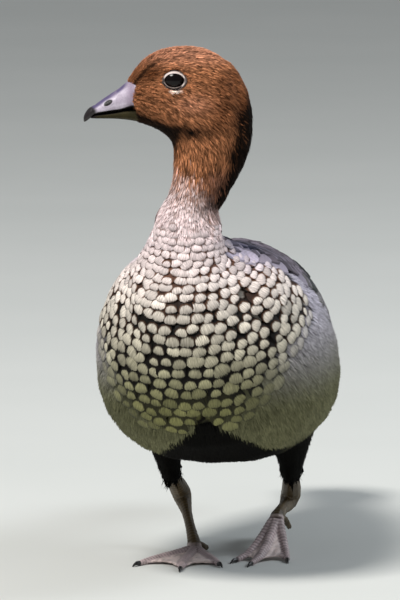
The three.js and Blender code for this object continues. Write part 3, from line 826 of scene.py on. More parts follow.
def flankward(points):
    """How far points on the front of the body are past the edge of the breast's scales, in degrees."""
    x, y, height = (points / MM).T
    turn = np.degrees(np.arctan2(np.abs(x), -(y + 60)))
    return turn - 22 - 0.62 * (height - 81) - 20 * ramp(height, 122, 150)


def hind_neck(points):
    """1 on the back of the neck's base, which is coloured like the mantle."""
    _, y, height = (points / MM).T
    return ramp(height, 216, 194) * ramp(y + 0.4 * (height - 190), -104, -92)


def in_scales(points):
    """1 where the breast has scale-like feathers, 0 outside it."""
    height = points[:, 2] / MM
    on_breast = ramp(flankward(points), 3, -3) * ramp(height, 76, 82) * ramp(height, 194, 181)
    return on_breast * (1 - hind_neck(points)) * (1 - np.maximum(upper_side(points), in_belly(points)))


def in_belly(points):
    """1 on the black belly, which comes to a point on the lower breast, and under the tail."""
    x, y, height = (points / MM).T
    front = ramp(89 - height - 0.72 * np.abs(x - 10) + 3 * (mottle(points, 3 * MM, seed=4) - 0.5), -1, 1.5)
    behind = ramp(y, -85, -55) * ramp(height, 74, 66)
    return np.maximum(np.maximum(front * ramp(y, -40, -80), behind), ramp(y, 30, 60))


def head_markings(points):
    """The colour of the head and neck."""
    forward, left, up = head_place(points)
    height = points[:, 2] / MM
    patches = mottle(points, 5 * MM, seed=1) - 0.5
    tint = blend_of(0.8 * ramp(up, 12, 24), RUST, RUST_LIGHT)
    brow = bell((forward - 25) / 6.5, (up - 12 + 0.3 * (forward - 25)) / 4.5)
    behind_eye = ramp(up + 0.3 * forward, 12, 5) * ramp(forward, 5, -14) * ramp(up, -26, -10)
    tint = blend_of(np.clip(0.95 * brow + 0.6 * behind_eye + 0.3 * patches, 0, 1), tint, RUST_DARK)
    cheek = bell((forward - 4) / 9, (up + 4) / 5)
    tint = blend_of(0.55 * cheek, tint, RUST_LIGHT)
    # Painted shade along the crease up the brow.
    crease_shade = along_line(points - column(left) * MM * HEAD_LEFT, BROW_CREASE)[1]
    tint = blend_of(0.8 * ramp(crease_shade, 1.3, 0.3), tint, BLACK_BROWN)
    # Painted shade in the crease under the cheek, towards the neck.
    shade_under_cheek = bell((up + 19 + 0.05 * forward) / 4) * ramp(forward, -14, 0)
    tint = blend_of(np.clip(shade_under_cheek * (0.75 + patches), 0, 1), tint, BLACK_BROWN)
    # Painted shade under the chin and throat.
    behind_chin = ramp(forward + 0.24 * (up + 16.7), 8.2, 10.8)
    shade_under_chin = ramp(table_read(forward, CHIN_EDGE) - up, -1, 1.2) * behind_chin * ramp(up, -31, -27)
    tint = blend_of(0.95 * shade_under_chin, tint, BLACK_BROWN)
    under_eye = np.hypot((forward - EYE_FORWARD + 0.8) / 3.6, (up - EYE_UP + 4.8) / 1.4)
    tint = blend_of(0.75 * ramp(under_eye, 1.15, 0.6), tint, CREAM)
    speckled = height - 0.55 * forward + 9 * patches + chance.normal(0, 3.5, len(points))
    tint = blend_of(ramp(speckled, 217, 189), tint, NECK_PALE)
    fleck = ramp(mottle(points, 2.0 * MM, seed=2), 0.58, 0.74)
    fleck = np.maximum(fleck * 0.55, 0.75 * ramp(forward + 9 * patches, 2, -9) * ramp(height, 186, 200))
    tint = blend_of(fleck * ramp(height, 224, 214), tint, NECK_BROWN)
    tint = blend_of(hind_neck(points), tint, MANTLE_BLUE)
    from_edge = forward - table_read(up, NAPE_EDGE) + 5 * patches
    from_edge = from_edge + chance.normal(0, 1.2, len(points))
    return blend_of(ramp(from_edge, 4, -3) * ramp(up, -64, -58), tint, NAPE_BLACK)


def upper_markings(points):
    """The colour of the mantle, back and folded wings."""
    x, y, height = (points / MM).T
    round_body = body_angle(points)
    shoulder = table_read(np.abs(x), SHOULDER_EDGE)
    tint = blend_of(np.maximum(ramp(y, -92, -50), ramp(np.abs(x), 20, 34)), MANTLE_BLUE, MANTLE_GREY)
    tint = blend_of(ramp(round_body, 40, 47) * ramp(y, -70, -50), tint, WING_GREY)
    tint = blend_of(0.7 * ramp(y - shoulder, 16, 2) * ramp(np.abs(x), 16, 26), tint, MANTLE_EDGE)
    bend = bell((y + 34) / 15, (height - 150) / 8)
    tint = blend_of(np.clip(1.4 * bend, 0, 1), tint, WING_BEND)
    return blend_of(ramp(y, -20, 10) * ramp(round_body, 16, 10), tint, BLACK)


def markings(points, normals):
    """The colour of the bird's coat at points on its skin."""
    x, y, height = (points / MM).T
    # Painted shade: the flanks get darker and more olive lower down.
    low = ramp(height, 154, 92)
    tint = blend_of(low, FLANK_HIGH, FLANK_SHADED)
    tint = blend_of(in_belly(points), tint, BELLY)
    thigh = ramp(height, 66, 60) * ramp(np.abs(x) - 0.9 * (height - 40), 34, 28)
    tint = blend_of(np.maximum(thigh, ramp(height, 54, 48)), tint, BELLY)
    tint = blend_of(upper_side(points), tint, upper_markings(points))
    tint = blend_of(ramp(y, 60, 80) * ramp(normals[:, 2], -1.1, -1), tint, BLACK)
    return blend_of(ramp(height, 176, 186), tint, head_markings(points))


def lit(tint, spread):
    """Colours with each feather a little lighter or darker than the next."""
    return tint * column(np.exp(spread * chance.standard_normal(len(tint))))


# ---------------------------------------------------------------- coat: head and neck
EYE_OPENING = (6.1, 4.5)  # half width and half height of the bare skin round the eye
EYE_LIFT = 0.7  # how far the opening lies over the middle of the CAD eye, in millimetres
MIDDLE_OF_HEAD = 8  # nearer than this to the head's middle, no place is near an eye, in millimetres
# The heights where one coat takes over from the next, which it overlaps a little.
HEAD_COAT_BOTTOM = 214 * MM
MANE_COAT_BOTTOM = 196 * MM
NECK_COAT_TOP = 216 * MM
NECK_COAT_BOTTOM = 176 * MM
BODY_COAT_TOP = 187 * MM
# The bake's maps go round these lines, each told by a place on it and its direction.
ROUND_HEAD = (on_head(0, 0, -6), (0, 0, 1))
ROUND_NECK = (NECK_MIDDLE, (0, 0, 1))
ROUND_BREAST = (np.array([0, -0.07, 0.12]), (1, 0, 0))
ROUND_BODY = (np.array([0, 0, 0.12]), (0, 1, 0))
ROUND_BACK = (np.array([0, 0.02, 0.11]), (0, 1, 0))
ROUND_TAIL = (np.array([0, 0.1, 0.085]), (0, 1, 0))


def from_eye(points):
    """How far points on the head are from the eye's opening, as a share of its size from its middle."""
    forward, _, up = head_place(points)
    wide, high = EYE_OPENING
    return np.hypot((forward - EYE_FORWARD) / wide, (up - EYE_UP - EYE_LIFT) / high)


@dataclass
class Clumps:
    """How hair-like feathers cling together in streaks."""

    across: float  # a streak's width
    along: float  # its length
    contrast: float  # how much lighter and darker streaks are
    relief: float  # how far light streaks stand over dark ones


def sizes(base, share=None):
    """A function that gives a size at each point: base, times share there."""
    return lambda points: base * (share(points) if share else np.ones(len(points)))


def coat_of_tufts(name, keep, spacing, length, width, around, material, clumps, spread=0.12, sway=0.15):
    """Hair-like feathers over the part of the skin where keep says so, told points and normals. spacing,
    length and width are functions that give a size at each point."""
    roots, normals = skin_surface.scatter(spacing)
    kept = keep(roots, normals)
    roots, normals = roots[kept], normals[kept]
    streak = streaks(roots, normals, clumps.across, clumps.along, seed=3)
    shown = roots + lie(roots, normals) * column(0.7 * length(roots))
    tint = lit(markings(shown, normals), spread) * column(np.exp(clumps.contrast * np.minimum(streak, 1.1)))
    raised = 0.1 * MM + clumps.relief * np.clip(streak, -1, 2)
    coat = Tufts(roots, normals, length(roots), width(roots), coat_depth(roots), tint, raised, sway)
    tufts(name, coat, material, around)


def head_size(points):
    """Size of the head's feathers against those of its cheeks: smallest on the face, longer on the neck."""
    forward, _, up = head_place(points)
    size = 0.45 + 0.55 * ramp(forward, 34, 8) + 0.5 * ramp(up, -10, -45)
    return size * (0.45 + 0.55 * ramp(from_eye(points), 1.0, 2.0))


def feathered_head(points, normals):
    """True where the head has feathers: off the bill and the skin round the eyes."""
    forward, left, up = head_place(points)
    tips = points + lie(points, normals) * column(4 * MM * head_size(points))
    open_eye = (from_eye(points) > 1) & (from_eye(tips) > 0.97) | (np.abs(left) < MIDDLE_OF_HEAD)
    return (points[:, 2] > HEAD_COAT_BOTTOM) & open_eye & (forward < table_read(up, FACE_EDGE))


def in_nape(points):
    """1 where the long feathers of the mane are rooted."""
    forward, _, up = head_place(points)
    return ramp(forward - table_read(up, NAPE_EDGE), 3, 0) * ramp(up, 10, 0) * ramp(up, -62, -56)


def feathered_neck(points, _):
    """True where the neck's feathers are rooted: above the breast's scales and off the mantle."""
    height = points[:, 2]
    clear = (in_scales(points) < 0.9) & (upper_side(points) < 0.5)
    return (height <= NECK_COAT_TOP) & (height > NECK_COAT_BOTTOM) & clear


down = tuft_material("down", lump=1.2 * MM, contrast=0.12)
coat_of_tufts(
    "head_coat",
    feathered_head,
    sizes(0.59 * MM, head_size),
    sizes(4.6 * MM, head_size),
    sizes(0.6 * MM, head_size),
    ROUND_HEAD,
    down,
    Clumps(0.45 * MM, 2.2 * MM, contrast=0.5, relief=0.22 * MM),
    spread=0.3,
)
coat_of_tufts(
    "mane_coat",
    lambda points, _: (in_nape(points) > 0.3) & (points[:, 2] > MANE_COAT_BOTTOM),
    sizes(0.95 * MM),
    sizes(11 * MM),
    sizes(1.1 * MM),
    ROUND_HEAD,
    down,
    Clumps(1.1 * MM, 7 * MM, contrast=0.35, relief=0.45 * MM),
    sway=0.14,
)
coat_of_tufts(
    "neck_coat",
    feathered_neck,
    sizes(0.9 * MM),
    sizes(5 * MM),
    sizes(1.25 * MM),
    ROUND_NECK,
    down,
    Clumps(1.4 * MM, 3.5 * MM, contrast=0.12, relief=0.25 * MM),
)


# ---------------------------------------------------------------- coat: the breast's scales
SCALE = Vane(
    rows=7, columns=18, rounding=0.24, corner=2.7, fringe=0.035, base=0.4, widest=0.5, over=0.35 * MM,
    cup=0.03, curl=0.8 * MM, patch=0.004,
)
SCALE_ROWS = 38
SCALE_PACE = 6.0 * MM
SCALE_SPACING = 8.2 * MM
SCALE_LENGTH = 12.5 * MM
SCALE_WIDTH = 8.8 * MM
SCALE_JITTER = 0.55 * MM
SCALES_MISSING = 0.006  # the share of the breast's feathers that have been lost


def scale_size(points):
    """Size of the breast's feathers against those of its middle."""
    return 1 - 0.5 * ramp(points[:, 2] / MM, 142, 202)


def scale_colours(points):
    """The pale and the dark colour of the breast's feathers."""
    x, y, height = (points / MM).T
    # Painted shade: the pale ends darken to olive lower down, and the dark grounds take a little green bounce
    # light.
    pale = blend_of(ramp(height, 172, 88), CREAM, OLIVE_SHADE)
    pale = blend_of(ramp(height, 140, 186), pale, NECK_PALE)
    dark = blend_of(ramp(height, 140, 176), BLACK_BROWN, NECK_BROWN)
    dark = blend_of(0.4 * ramp(height, 106, 84), dark, 0.4 * OLIVE_SHADE)
    dark = blend_of(0.65 * ramp(height, 170, 190), dark, NECK_PALE)
    coat = markings(points, skin_surface.drop(points)[1])
    pale = blend_of(0.6 * ramp(flankward(points), -14, 0), pale, coat)
    dark = blend_of(0.8 * ramp(flankward(points), -10, -1) * ramp(height, 170, 150), dark, coat)
    shoulder = y - table_read(np.abs(x), SHOULDER_EDGE)
    near_mantle = ramp(shoulder, -12, -1) * ramp(np.abs(x), 12, 20)
    return blend_of(0.6 * near_mantle, pale, MANTLE_EDGE), blend_of(0.5 * near_mantle, dark, MANTLE_GREY)


neck_ring = level_ring(np.array([-4.5, -114, 206]) * MM)
scale_tips = places_in_rows(
    neck_ring, SCALE_ROWS, sizes(SCALE_PACE, scale_size), sizes(SCALE_SPACING, scale_size)
)
jitter = SCALE_JITTER * chance.standard_normal(scale_tips.shape) * column(scale_size(scale_tips))
scale_tips, normals = skin_surface.drop(scale_tips + jitter)
kept = in_scales(scale_tips) > chance.uniform(0.2, 0.8, len(scale_tips))
kept &= chance.random(len(kept)) > SCALES_MISSING * 2.5 * ramp(mottle(scale_tips, 14 * MM, seed=12), 0.4, 0.8)
scale_tips, normals = scale_tips[kept], normals[kept]
size = scale_size(scale_tips) * np.exp(0.1 * chance.standard_normal(len(scale_tips)))
mark, ground = scale_colours(scale_tips)
spine, rise = spines_to(scale_tips, normals, SCALE_LENGTH * size, SCALE.rows, sway=0.17)
ground = lit(ground, 0.25)
mark = lit(mark, 0.16)
height = scale_tips[:, 2] / MM
breast = Plumes(
    spine,
    rise,
    SCALE_WIDTH * size,
    coat_depth(scale_tips),
    ground,
    mark,
    reach=np.clip(chance.normal(1, 0.09, len(height)), 0.8, 1.2) + 0.2 * ramp(height, 140, 180),
    rim=0.5 * ramp(height, 112, 160),
    lift=chance.uniform(-0.1, 0.35, len(height)) * MM,
)
vanes(
    "breast_scales",
    breast,
    SCALE,
    vane_material(
        "scales", 0.94, 0.43, 0.87, rim_from=0.9, rim_colour=HALO, fray=0.8, barb=0.42, halo=0.9, teeth=0.9,
        dome=2.4,
    ),
    ROUND_BREAST,
)


def patch_share(points):
    """How much points on the skin are under the pale end of a feather of the breast."""
    tree = KDTree(len(scale_tips))
    for index, tip in enumerate(scale_tips):
        tree.insert(Vector(tip), index)
    tree.balance()
    nearest = np.array([tree.find(point)[2] for point in points.tolist()])
    return ramp(nearest / (0.5 * SCALE_PACE * scale_size(points)), 1.25, 0.9)


# ---------------------------------------------------------------- coat: flanks, belly and thighs
BREAST_BOTTOM = 88 * MM


def body_size(points):
    """Size of the body's small feathers against those of its front."""
    return 1.0 + 0.4 * ramp(points[:, 1], -0.04, 0.06)


def feathered_body(points):
    """True where the body's small feathers are rooted: under and beside the breast's scales, and below
    the mantle and wings."""
    height = points[:, 2]
    off_breast = (in_scales(points) < 0.5) | (flankward(points) > -9) | (height < BREAST_BOTTOM)
    return (height <= BODY_COAT_TOP) & (upper_side(points) < 0.6) & off_breast


flank = tuft_material("flank", lump=0.8 * MM, contrast=0.16)
for name, side in SIDES.items():
    coat_of_tufts(
        "body_coat_" + name,
        lambda points, _: feathered_body(points) & (points[:, 0] * side > 0),
        sizes(MM, body_size),
        sizes(7 * MM),
        sizes(MM, body_size),
        ROUND_BODY,
        flank,
        Clumps(0.9 * MM, 2.4 * MM, contrast=0.16, relief=0.1 * MM),
        sway=0.1,
    )


# ---------------------------------------------------------------- coat: mantle, back and wing coverts
COVERT = Vane(
    rows=8, columns=10, rounding=0.22, fringe=0.02, base=0.4, over=0.1 * MM, cup=0.006, curl=0.3 * MM
)
COVERT_ROWS = 28
COVERT_PACE = 7.2 * MM
COVERT_SPACING = 10.5 * MM
COVERT_LENGTH = 20 * MM
COVERT_WIDTH = 14.5 * MM
# How far back the coverts reach at each angle round the body, in millimetres and degrees.
COVERT_END = np.array([[0, 0], [20, 0], [24, 16], [50, 24], [56, 14], [90, 14]])


def covert_size(points):
    """Size of the mantle's and back's feathers, which grow towards the tail."""
    return 1 + 0.5 * ramp(points[:, 1] / MM, -95, 20)


tips = places_in_rows(
    neck_ring, COVERT_ROWS, sizes(COVERT_PACE, covert_size), sizes(COVERT_SPACING, covert_size)
)
tips, normals = skin_surface.drop(tips + chance.normal(0, 0.8 * MM, tips.shape))
end = table_read(body_angle(tips), COVERT_END) * MM
kept = (upper_side(tips) > 0.4) & (tips[:, 1] < end)
tips, normals = tips[kept], normals[kept]
spine, rise = spines_to(tips, normals, COVERT_LENGTH * covert_size(tips), COVERT.rows, sway=0.06)
mark = lit(markings(tips, normals), 0.2)
coverts = Plumes(
    spine,
    rise,
    COVERT_WIDTH * covert_size(tips),
    0.8 * coat_depth(tips),
    0.55 * mark,
    mark,
    rim=0.9 * ramp(np.mean(mark, axis=1), 0.02, 0.08),
)
soft_vane = vane_material("soft_vanes", 0.62, 0.34, 0.8, rim_from=0.9, rim_colour=MANTLE_EDGE, fray=0.6)
vanes("covert_feathers", coverts, COVERT, soft_vane, ROUND_BODY)


# ---------------------------------------------------------------- coat: flight and tail feathers
QUILL = Vane(
    rows=12, columns=8, rounding=0.2, fringe=0.004, base=0.5, widest=0.4, settle=3.0, over=0.0, cup=0.004,
    curl=0.2 * MM, keel=0.25 * MM, patch=0.005,
)
QUILL_DEPTH = 2.2  # how deep the roots of long feathers lie, in millimetres


OUTSIDE = 0.15  # this far from the body's axis everything is outside the skin


def on_body(back, angle, side):
    """Places on the skin and their normals, told by how far back they are and the angle round the body
    from the middle of its back, in millimetres and degrees."""
    turn = np.radians(angle)
    ways = np.stack([side * np.sin(turn), 0 * turn, np.cos(turn)], axis=-1)
    axis = np.stack([0 * back, back, BODY_AXIS_HEIGHT + 0 * back], axis=-1) * MM
    return skin_surface.cast(axis + OUTSIDE * ways, -ways, reach=OUTSIDE - 5 * MM)


@dataclass
class QuillRow:
    """A row of long feathers on one side of the body. Its first and last are told by how far back their
    root is and its angle round the body, and the same of their tip."""

    name: str
    slot: str
    first: tuple
    last: tuple
    count: int
    width: np.ndarray
    tint: np.ndarray
    rim: float
    lift: float
    material: bpy.types.Material
    scatter: float = 0.0  # how many degrees they stray aside


def quills(row, side_name, side):
    """The feathers of a row on one side."""
    count, lift = row.count, row.lift
    first, last = np.array(row.first, float), np.array(row.last, float)
    share = np.linspace(0, 1, count)
    from_back, from_angle, to_back, to_angle = (first + (last - first) * column(share)).T[:, :, None]
    step = np.linspace(0, 1, QUILL.rows + 1)
    back = from_back + (to_back - from_back) * step
    strayed = row.scatter * chance.standard_normal((count, 1))
    angle = from_angle + (to_angle - from_angle) * step**1.3 + strayed
    spine, rise = on_body(back.ravel(), angle.ravel(), side)
    shape = (count, QUILL.rows + 1, 3)
    feathers = Plumes(
        spine.reshape(shape),
        rise.reshape(shape),
        row.width * MM,
        (QUILL_DEPTH + lift) * MM,
        lit(np.tile(0.75 * row.tint, (count, 1)), 0.08),
        lit(np.tile(row.tint, (count, 1)), 0.08),
        rim=row.rim,
        lift=(lift + 0.5 * share) * MM,
    )
    vanes(row.name + "_" + side_name, feathers, QUILL, row.material, ROUND_BACK)


SPECULUM = colour(30, 62, 48)
PRIMARY = colour(36, 31, 31)
TERTIAL = colour(112, 104, 106)
WHITE_EDGE = colour(226, 222, 218)

quill_vane = vane_material("quills", 0.5, 0.54, 0.9, rim_from=0.985, rim_colour=WING_GREY, gloss=0.5)
white_tipped = vane_material("speculum", 0.4, 0.6, 0.9, rim_from=0.9, rim_colour=WHITE_EDGE, gloss=0.45)
QUILL_ROWS = [
    QuillRow(
        "primaries", "wing_feathers", (40, 80, 104, 78), (50, 41, 114, 44), 6, 12, PRIMARY, 0.4, 0.1,
        quill_vane,
    ),
    QuillRow(
        "secondaries", "wing_feathers", (2, 76, 36, 82), (6, 50, 74, 50), 9, 13, SPECULUM, 1.0, -0.4,
        white_tipped,
    ),
    QuillRow(
        "scapulars", "wing_feathers", (-56, 40, -20, 36), (2, 31, 56, 25), 14, np.linspace(4, 8, 14), BLACK,
        0.3, 0.5, quill_vane, scatter=2.2,
    ),
    QuillRow(
        "back", "wing_feathers", (-18, 3, 26, 4), (-4, 24, 44, 16), 6, 15, MANTLE_GREY, 0.7, 0.9, quill_vane
    ),
    QuillRow("rump", "tail_feathers", (-8, 3, 66, 2), (2, 9, 84, 5), 4, 12, BLACK, 0.25, -0.6, quill_vane),
    QuillRow(
        "tertials", "wing_feathers", (6, 54, 72, 50), (14, 20, 98, 19), 6, 16, TERTIAL, 0.4, 1.2, quill_vane
    ),
]
for name, side in SIDES.items():
    for row in QUILL_ROWS:
        quills(row, name, side)

# The tail's upper side: how far back its root is and how high, in millimetres, its fall towards the tip,
# how it rounds off sideways, and how far its middle is aside.
TAIL_QUILLS = 12
TAIL_ROOT = 88
TAIL_ROOT_HEIGHT = 102.3
TAIL_FALL = 0.36
TAIL_ROUND = 0.0075
TAIL_MIDDLE = -1.2
TAIL_ROOT_SPREAD = 15
TAIL_TIP_SPREAD = 26
TAIL_TIP_ROUND = 11  # how much shorter the outermost feathers are than the middle ones
TAIL_OVERHANG = 2.5  # how far the feathers reach past the solid's tip
tail_share = np.linspace(-1, 1, TAIL_QUILLS)
step = np.linspace(0, 1, QUILL.rows + 1)
aside = column(tail_share) * (TAIL_ROOT_SPREAD + (TAIL_TIP_SPREAD - TAIL_ROOT_SPREAD) * step)
tail_length = TAIL_TIP[1] / MM - TAIL_ROOT + TAIL_OVERHANG - TAIL_TIP_ROUND * tail_share**2
back = TAIL_ROOT + column(tail_length) * step
height = TAIL_ROOT_HEIGHT - TAIL_FALL * (back - TAIL_ROOT) - TAIL_ROUND * aside**2
rise = np.stack([2 * TAIL_ROUND * aside, TAIL_FALL + 0 * aside, 1 + 0 * aside], axis=-1)
tail_feathers = Plumes(
    np.stack([aside + TAIL_MIDDLE, back, height], axis=-1) * MM,
    unit(rise),
    12 * MM,
    0.5 * MM,
    np.tile(0.7 * BLACK, (TAIL_QUILLS, 1)),
    lit(np.tile(BLACK, (TAIL_QUILLS, 1)), 0.1),
    rim=0.2,
    lift=(0.8 - 0.6 * np.abs(tail_share)) * MM,
)
vanes("tail_quills", tail_feathers, QUILL, quill_vane, ROUND_TAIL)

# ---------------------------------------------------------------- the skin itself
UNDER_BILL_DEPTH = 2.6 * MM  # how much deeper the skin lies where the bill covers it

height = skin_points[:, 2] / MM
# The skin is painted a fifth darker than the coat's colours, as shade down in the feathers.
shaded_down_tint = 0.8 * markings(skin_points, skin_surface.normals)
# Lower down the pale is olive, as painted shade with green bounce light.
pale = blend_of(ramp(height, 172, 92), CREAM, OLIVE_SHADE)
bare_tint = blend_of(ramp(height, 150, 185), BLACK_BROWN, NECK_BROWN)
# Under the pale ends of the breast's scales the skin takes half their colour, as painted shade.
bare_tint = blend_of(patch_share(skin_points), bare_tint, 0.5 * pale)
shaded_down_tint = blend_of(in_scales(skin_points), shaded_down_tint, bare_tint)
paint(skin, shaded_down_tint, tuft_material("skin", lump=1.5 * MM, contrast=0.2))
forward, _, up = head_place(skin_points)
under_bill = ramp(forward - table_read(up, FACE_EDGE), -1.5, 0.3) * ramp(up, 6, 4)
skin_depth = coat_depth(skin_points) + UNDER_BILL_DEPTH * under_bill
set_points(skin, skin_points - skin_surface.normals * column(skin_depth))
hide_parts(*FLESH)
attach(skin, "root")

# ---------------------------------------------------------------- eyes and lids
EYEBALL = (5.9, 4.6, 4.8)  # half its size forward, left and up
EYE_DARK = (5.15, 3.65)  # half width and half height of the dark of the eye between its lids
LID_END = (6.8, 5.3)  # the lids' outer edge, under the feathers
BESIDE_HEAD = 40.0  # this far from the head's middle everything is outside the skin
LID_SIDES = 96
LID_RINGS = 12
LID_PALE = colour(236, 220, 214)
LID_DARK = colour(48, 32, 28)

glass = Shader("eye", roughness=0.12, specular=0.22)
depth_in_eye = glass.noise(glass.place(), 300.0)
eye_material = glass.colour(glass.mix(depth_in_eye, colour(5, 3, 4), colour(20, 11, 10)))


def eyeball(name, node):
    """A smooth, slightly flattened ball in place of a CAD eye."""
    mesh = bpy.data.meshes.new(name)
    ball = bmesh.new()
    bmesh.ops.create_uvsphere(ball, u_segments=64, v_segments=32, radius=MM)
    axes = Matrix([[HEAD_FORWARD[i], HEAD_LEFT[i], UP[i]] for i in range(3)]).to_4x4()
    place = Matrix.Translation(Vector(centre_of(node) + EYE_LIFT * MM * UP))
    ball.transform(place @ axes @ Matrix.Diagonal((*EYEBALL, 1.0)))
    ball.to_mesh(mesh)
    ball.free()
    mesh.shade_smooth()
    mesh.materials.append(eye_material)
    piece = link(name, mesh)
    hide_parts(node)
    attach(piece, "root")


def ring_faces(rings, sides):
    """The four-sided faces between closed rings of points."""
    faces = []
    for ring in range(rings - 1):
        for here in range(sides):
            a = ring * sides + here
            b = ring * sides + (here + 1) % sides
            faces.append((a, b, b + sides, a + sides))
    return faces


def lids(name, node, side):
    """The rim of bare skin round an eye, from the ball out to the feathers."""
    turn = np.linspace(0, 2 * math.pi, LID_SIDES, endpoint=False)
    share = np.linspace(0, 1, LID_RINGS)[:, None]
    wide = EYE_DARK[0] + (LID_END[0] - EYE_DARK[0]) * share
    high = EYE_DARK[1] + (LID_END[1] - EYE_DARK[1]) * share
    narrowed = 1 - 0.12 * np.abs(np.cos(turn)) ** 6 * (1 - share)
    forward = EYE_FORWARD + wide * np.cos(turn)
    up = EYE_UP + EYE_LIFT + high * np.sin(turn) * narrowed
    ball = abs(head_place(centre_of(node))[1])
    off = np.hypot((forward - EYE_FORWARD) / EYEBALL[0], (up - EYE_UP - EYE_LIFT) / EYEBALL[2])
    on_ball = ball + 0.15 + EYEBALL[1] * np.sqrt(np.maximum(1 - off**2, 0))
    start = on_head(forward.ravel(), np.full(forward.size, side * BESIDE_HEAD), up.ravel())
    way = np.tile(-side * HEAD_LEFT, (forward.size, 1))
    met = skin_surface.cast(start, way, reach=BESIDE_HEAD * MM)[0]
    on_skin = np.abs(head_place(met)[1]).reshape(forward.shape) + 0.3 - 0.9 * share
    left = np.maximum(on_ball, on_skin) + 0.35 * np.sin(np.pi * share**0.8)
    points = on_head(forward.ravel(), side * left.ravel(), up.ravel())
    mesh = bpy.data.meshes.new(name)
    mesh.from_pydata(points.tolist(), [], ring_faces(LID_RINGS, LID_SIDES))
    mesh.shade_smooth()
    piece = link(name, mesh)
    corners = ramp(np.abs(np.cos(turn)), 0.9, 0.99)[None] * np.ones_like(share)
    outer = ramp(share - 0.14 * np.sin(turn), 0.38, 0.58)
    inner = ramp(share, 0.14, 0.0) * np.ones_like(turn)[None]
    dark = np.maximum(np.maximum(corners * 0.8, outer * 0.9), inner).ravel()
    tint = blend_of(dark, LID_PALE, LID_DARK)
    paint(piece, tint, horn_material(name, roughness=0.5, grain=2200, depth=0.1 * MM))
    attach(piece, "root")


for name, side in SIDES.items():
    eyeball("eyeball_" + name, "eye_" + name)
    lids("lids_" + name, "eye_" + name, side)

# ---------------------------------------------------------------- bill
# Each station is forward, up, half width and half height, in millimetres from the head's origin.
UPPER_BILL = [
    (30, 1.2, 8.5, 7.6),
    (33.5, 0.8, 10.6, 8.9),
    (36, 0.3, 10.1, 8.2),
    (38.5, -1.1, 9.0, 7.4),
    (42, -3.1, 7.5, 6.4),
    (46.5, -4.9, 6.7, 5.1),
    (51, -6.7, 6.1, 3.9),
    (55.5, -8.6, 5.2, 2.6),
    (59, -11.0, 3.9, 2.9),
    (60.9, -12.9, 2.6, 2.3),
    (61.7, -13.8, 1.1, 1.1),
]
LOWER_BILL = [
    (29, -11.0, 8.6, 4.0),
    (33, -11.2, 8.2, 3.7),
    (39, -11.1, 7.4, 2.9),
    (45, -11.5, 6.2, 2.0),
    (51, -11.9, 5.3, 1.5),
    (55.5, -12.2, 4.4, 1.2),
    (58, -12.5, 2.8, 0.8),
]
BILL_SIDES = 64
BILL_RINGS = 90
NOSTRIL = {"forward": 48.7, "up": -4.6, "half_length": 2.4, "half_height": 1.15, "slope": 30}
BILL_VOXEL = 0.3 * MM
BILL_SIDE = colour(212, 200, 216)
BILL_BASE = colour(164, 148, 168)
BILL_RIDGE = colour(84, 72, 116)
BILL_EDGE = colour(244, 230, 230)
BILL_NAIL = colour(32, 25, 27)
# The lower bill: its own dark colour, made darker and olive as painted shade with green bounce light.
LOWER_BILL_SHADED = colour(52, 46, 24)
# Painted shade: under the upper bill, in the nostril and along the mouth line.
BILL_SHADE = colour(22, 17, 16)


def headward_loft(name, stations, top_power, bottom_power):
    """A closed mesh through stations along the head, with a ridged or flattened top and bottom."""
    forward, up, half_width, half_height = through(stations, BILL_RINGS).T[:, :, None]
    angle = np.linspace(0, 2 * math.pi, BILL_SIDES, endpoint=False)
    cos = np.cos(angle)
    rise = np.sign(cos) * np.abs(cos) ** np.where(cos > 0, top_power, bottom_power)
    left = half_width * np.sin(angle)
    points = on_head(forward + 0 * left, left, up + half_height * rise).reshape(-1, 3)
    faces = [tuple(range(BILL_SIDES))]
    faces += [(b, a, d, c) for a, b, c, d in ring_faces(BILL_RINGS, BILL_SIDES)]
    faces.append(tuple(reversed(range(len(points) - BILL_SIDES, len(points)))))
    mesh = bpy.data.meshes.new(name)
    mesh.from_pydata(points.tolist(), [], faces)
    turned_out = bmesh.new()
    turned_out.from_mesh(mesh)
    bmesh.ops.recalc_face_normals(turned_out, faces=turned_out.faces)
    turned_out.to_mesh(mesh)
    turned_out.free()
    return link(name, mesh)


def nostril_bore():
    """The oval bore that the nostrils make through the bill."""
    mesh = bpy.data.meshes.new("bore")
    bore = bmesh.new()
    bmesh.ops.create_cone(bore, cap_ends=True, segments=48, radius1=1, radius2=1, depth=30 * MM)
    slope = math.radians(NOSTRIL["slope"])
    long_way = -math.cos(slope) * HEAD_FORWARD + math.sin(slope) * UP
    high_way = math.sin(slope) * HEAD_FORWARD + math.cos(slope) * UP
    long_way = long_way * NOSTRIL["half_length"] * MM
    high_way = high_way * NOSTRIL["half_height"] * MM
    axes = Matrix(list(zip(long_way, high_way, HEAD_LEFT))).to_4x4()
    place = on_head(NOSTRIL["forward"], 0, NOSTRIL["up"])
    bore.transform(Matrix.Translation(Vector(place)) @ axes)
    bmesh.ops.recalc_face_normals(bore, faces=bore.faces)
    bore.to_mesh(mesh)
    bore.free()
    return link("bore", mesh)


def from_nostril(forward, up):
    """How far from the nostril's middle, as a share of its size."""
    slope = math.radians(NOSTRIL["slope"])
    away, rise = forward - NOSTRIL["forward"], up - NOSTRIL["up"]
    lengthways = (-away * math.cos(slope) + rise * math.sin(slope)) / NOSTRIL["half_length"]
    highways = (away * math.sin(slope) + rise * math.cos(slope)) / NOSTRIL["half_height"]
    return np.hypot(lengthways, highways)


def top_and_bottom(stations, forward):
    """How high a loft's top and bottom are at places forward on the head."""
    at, middle, _, half_height = through(stations, BILL_RINGS).T
    return np.interp(forward, at, middle + half_height), np.interp(forward, at, middle - half_height)


def finish_bill(piece, tint, node, material):
    """Paints half of the bill and puts it in place of its node."""
    paint(piece, tint, material)
    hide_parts(node)
    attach(piece, "root")


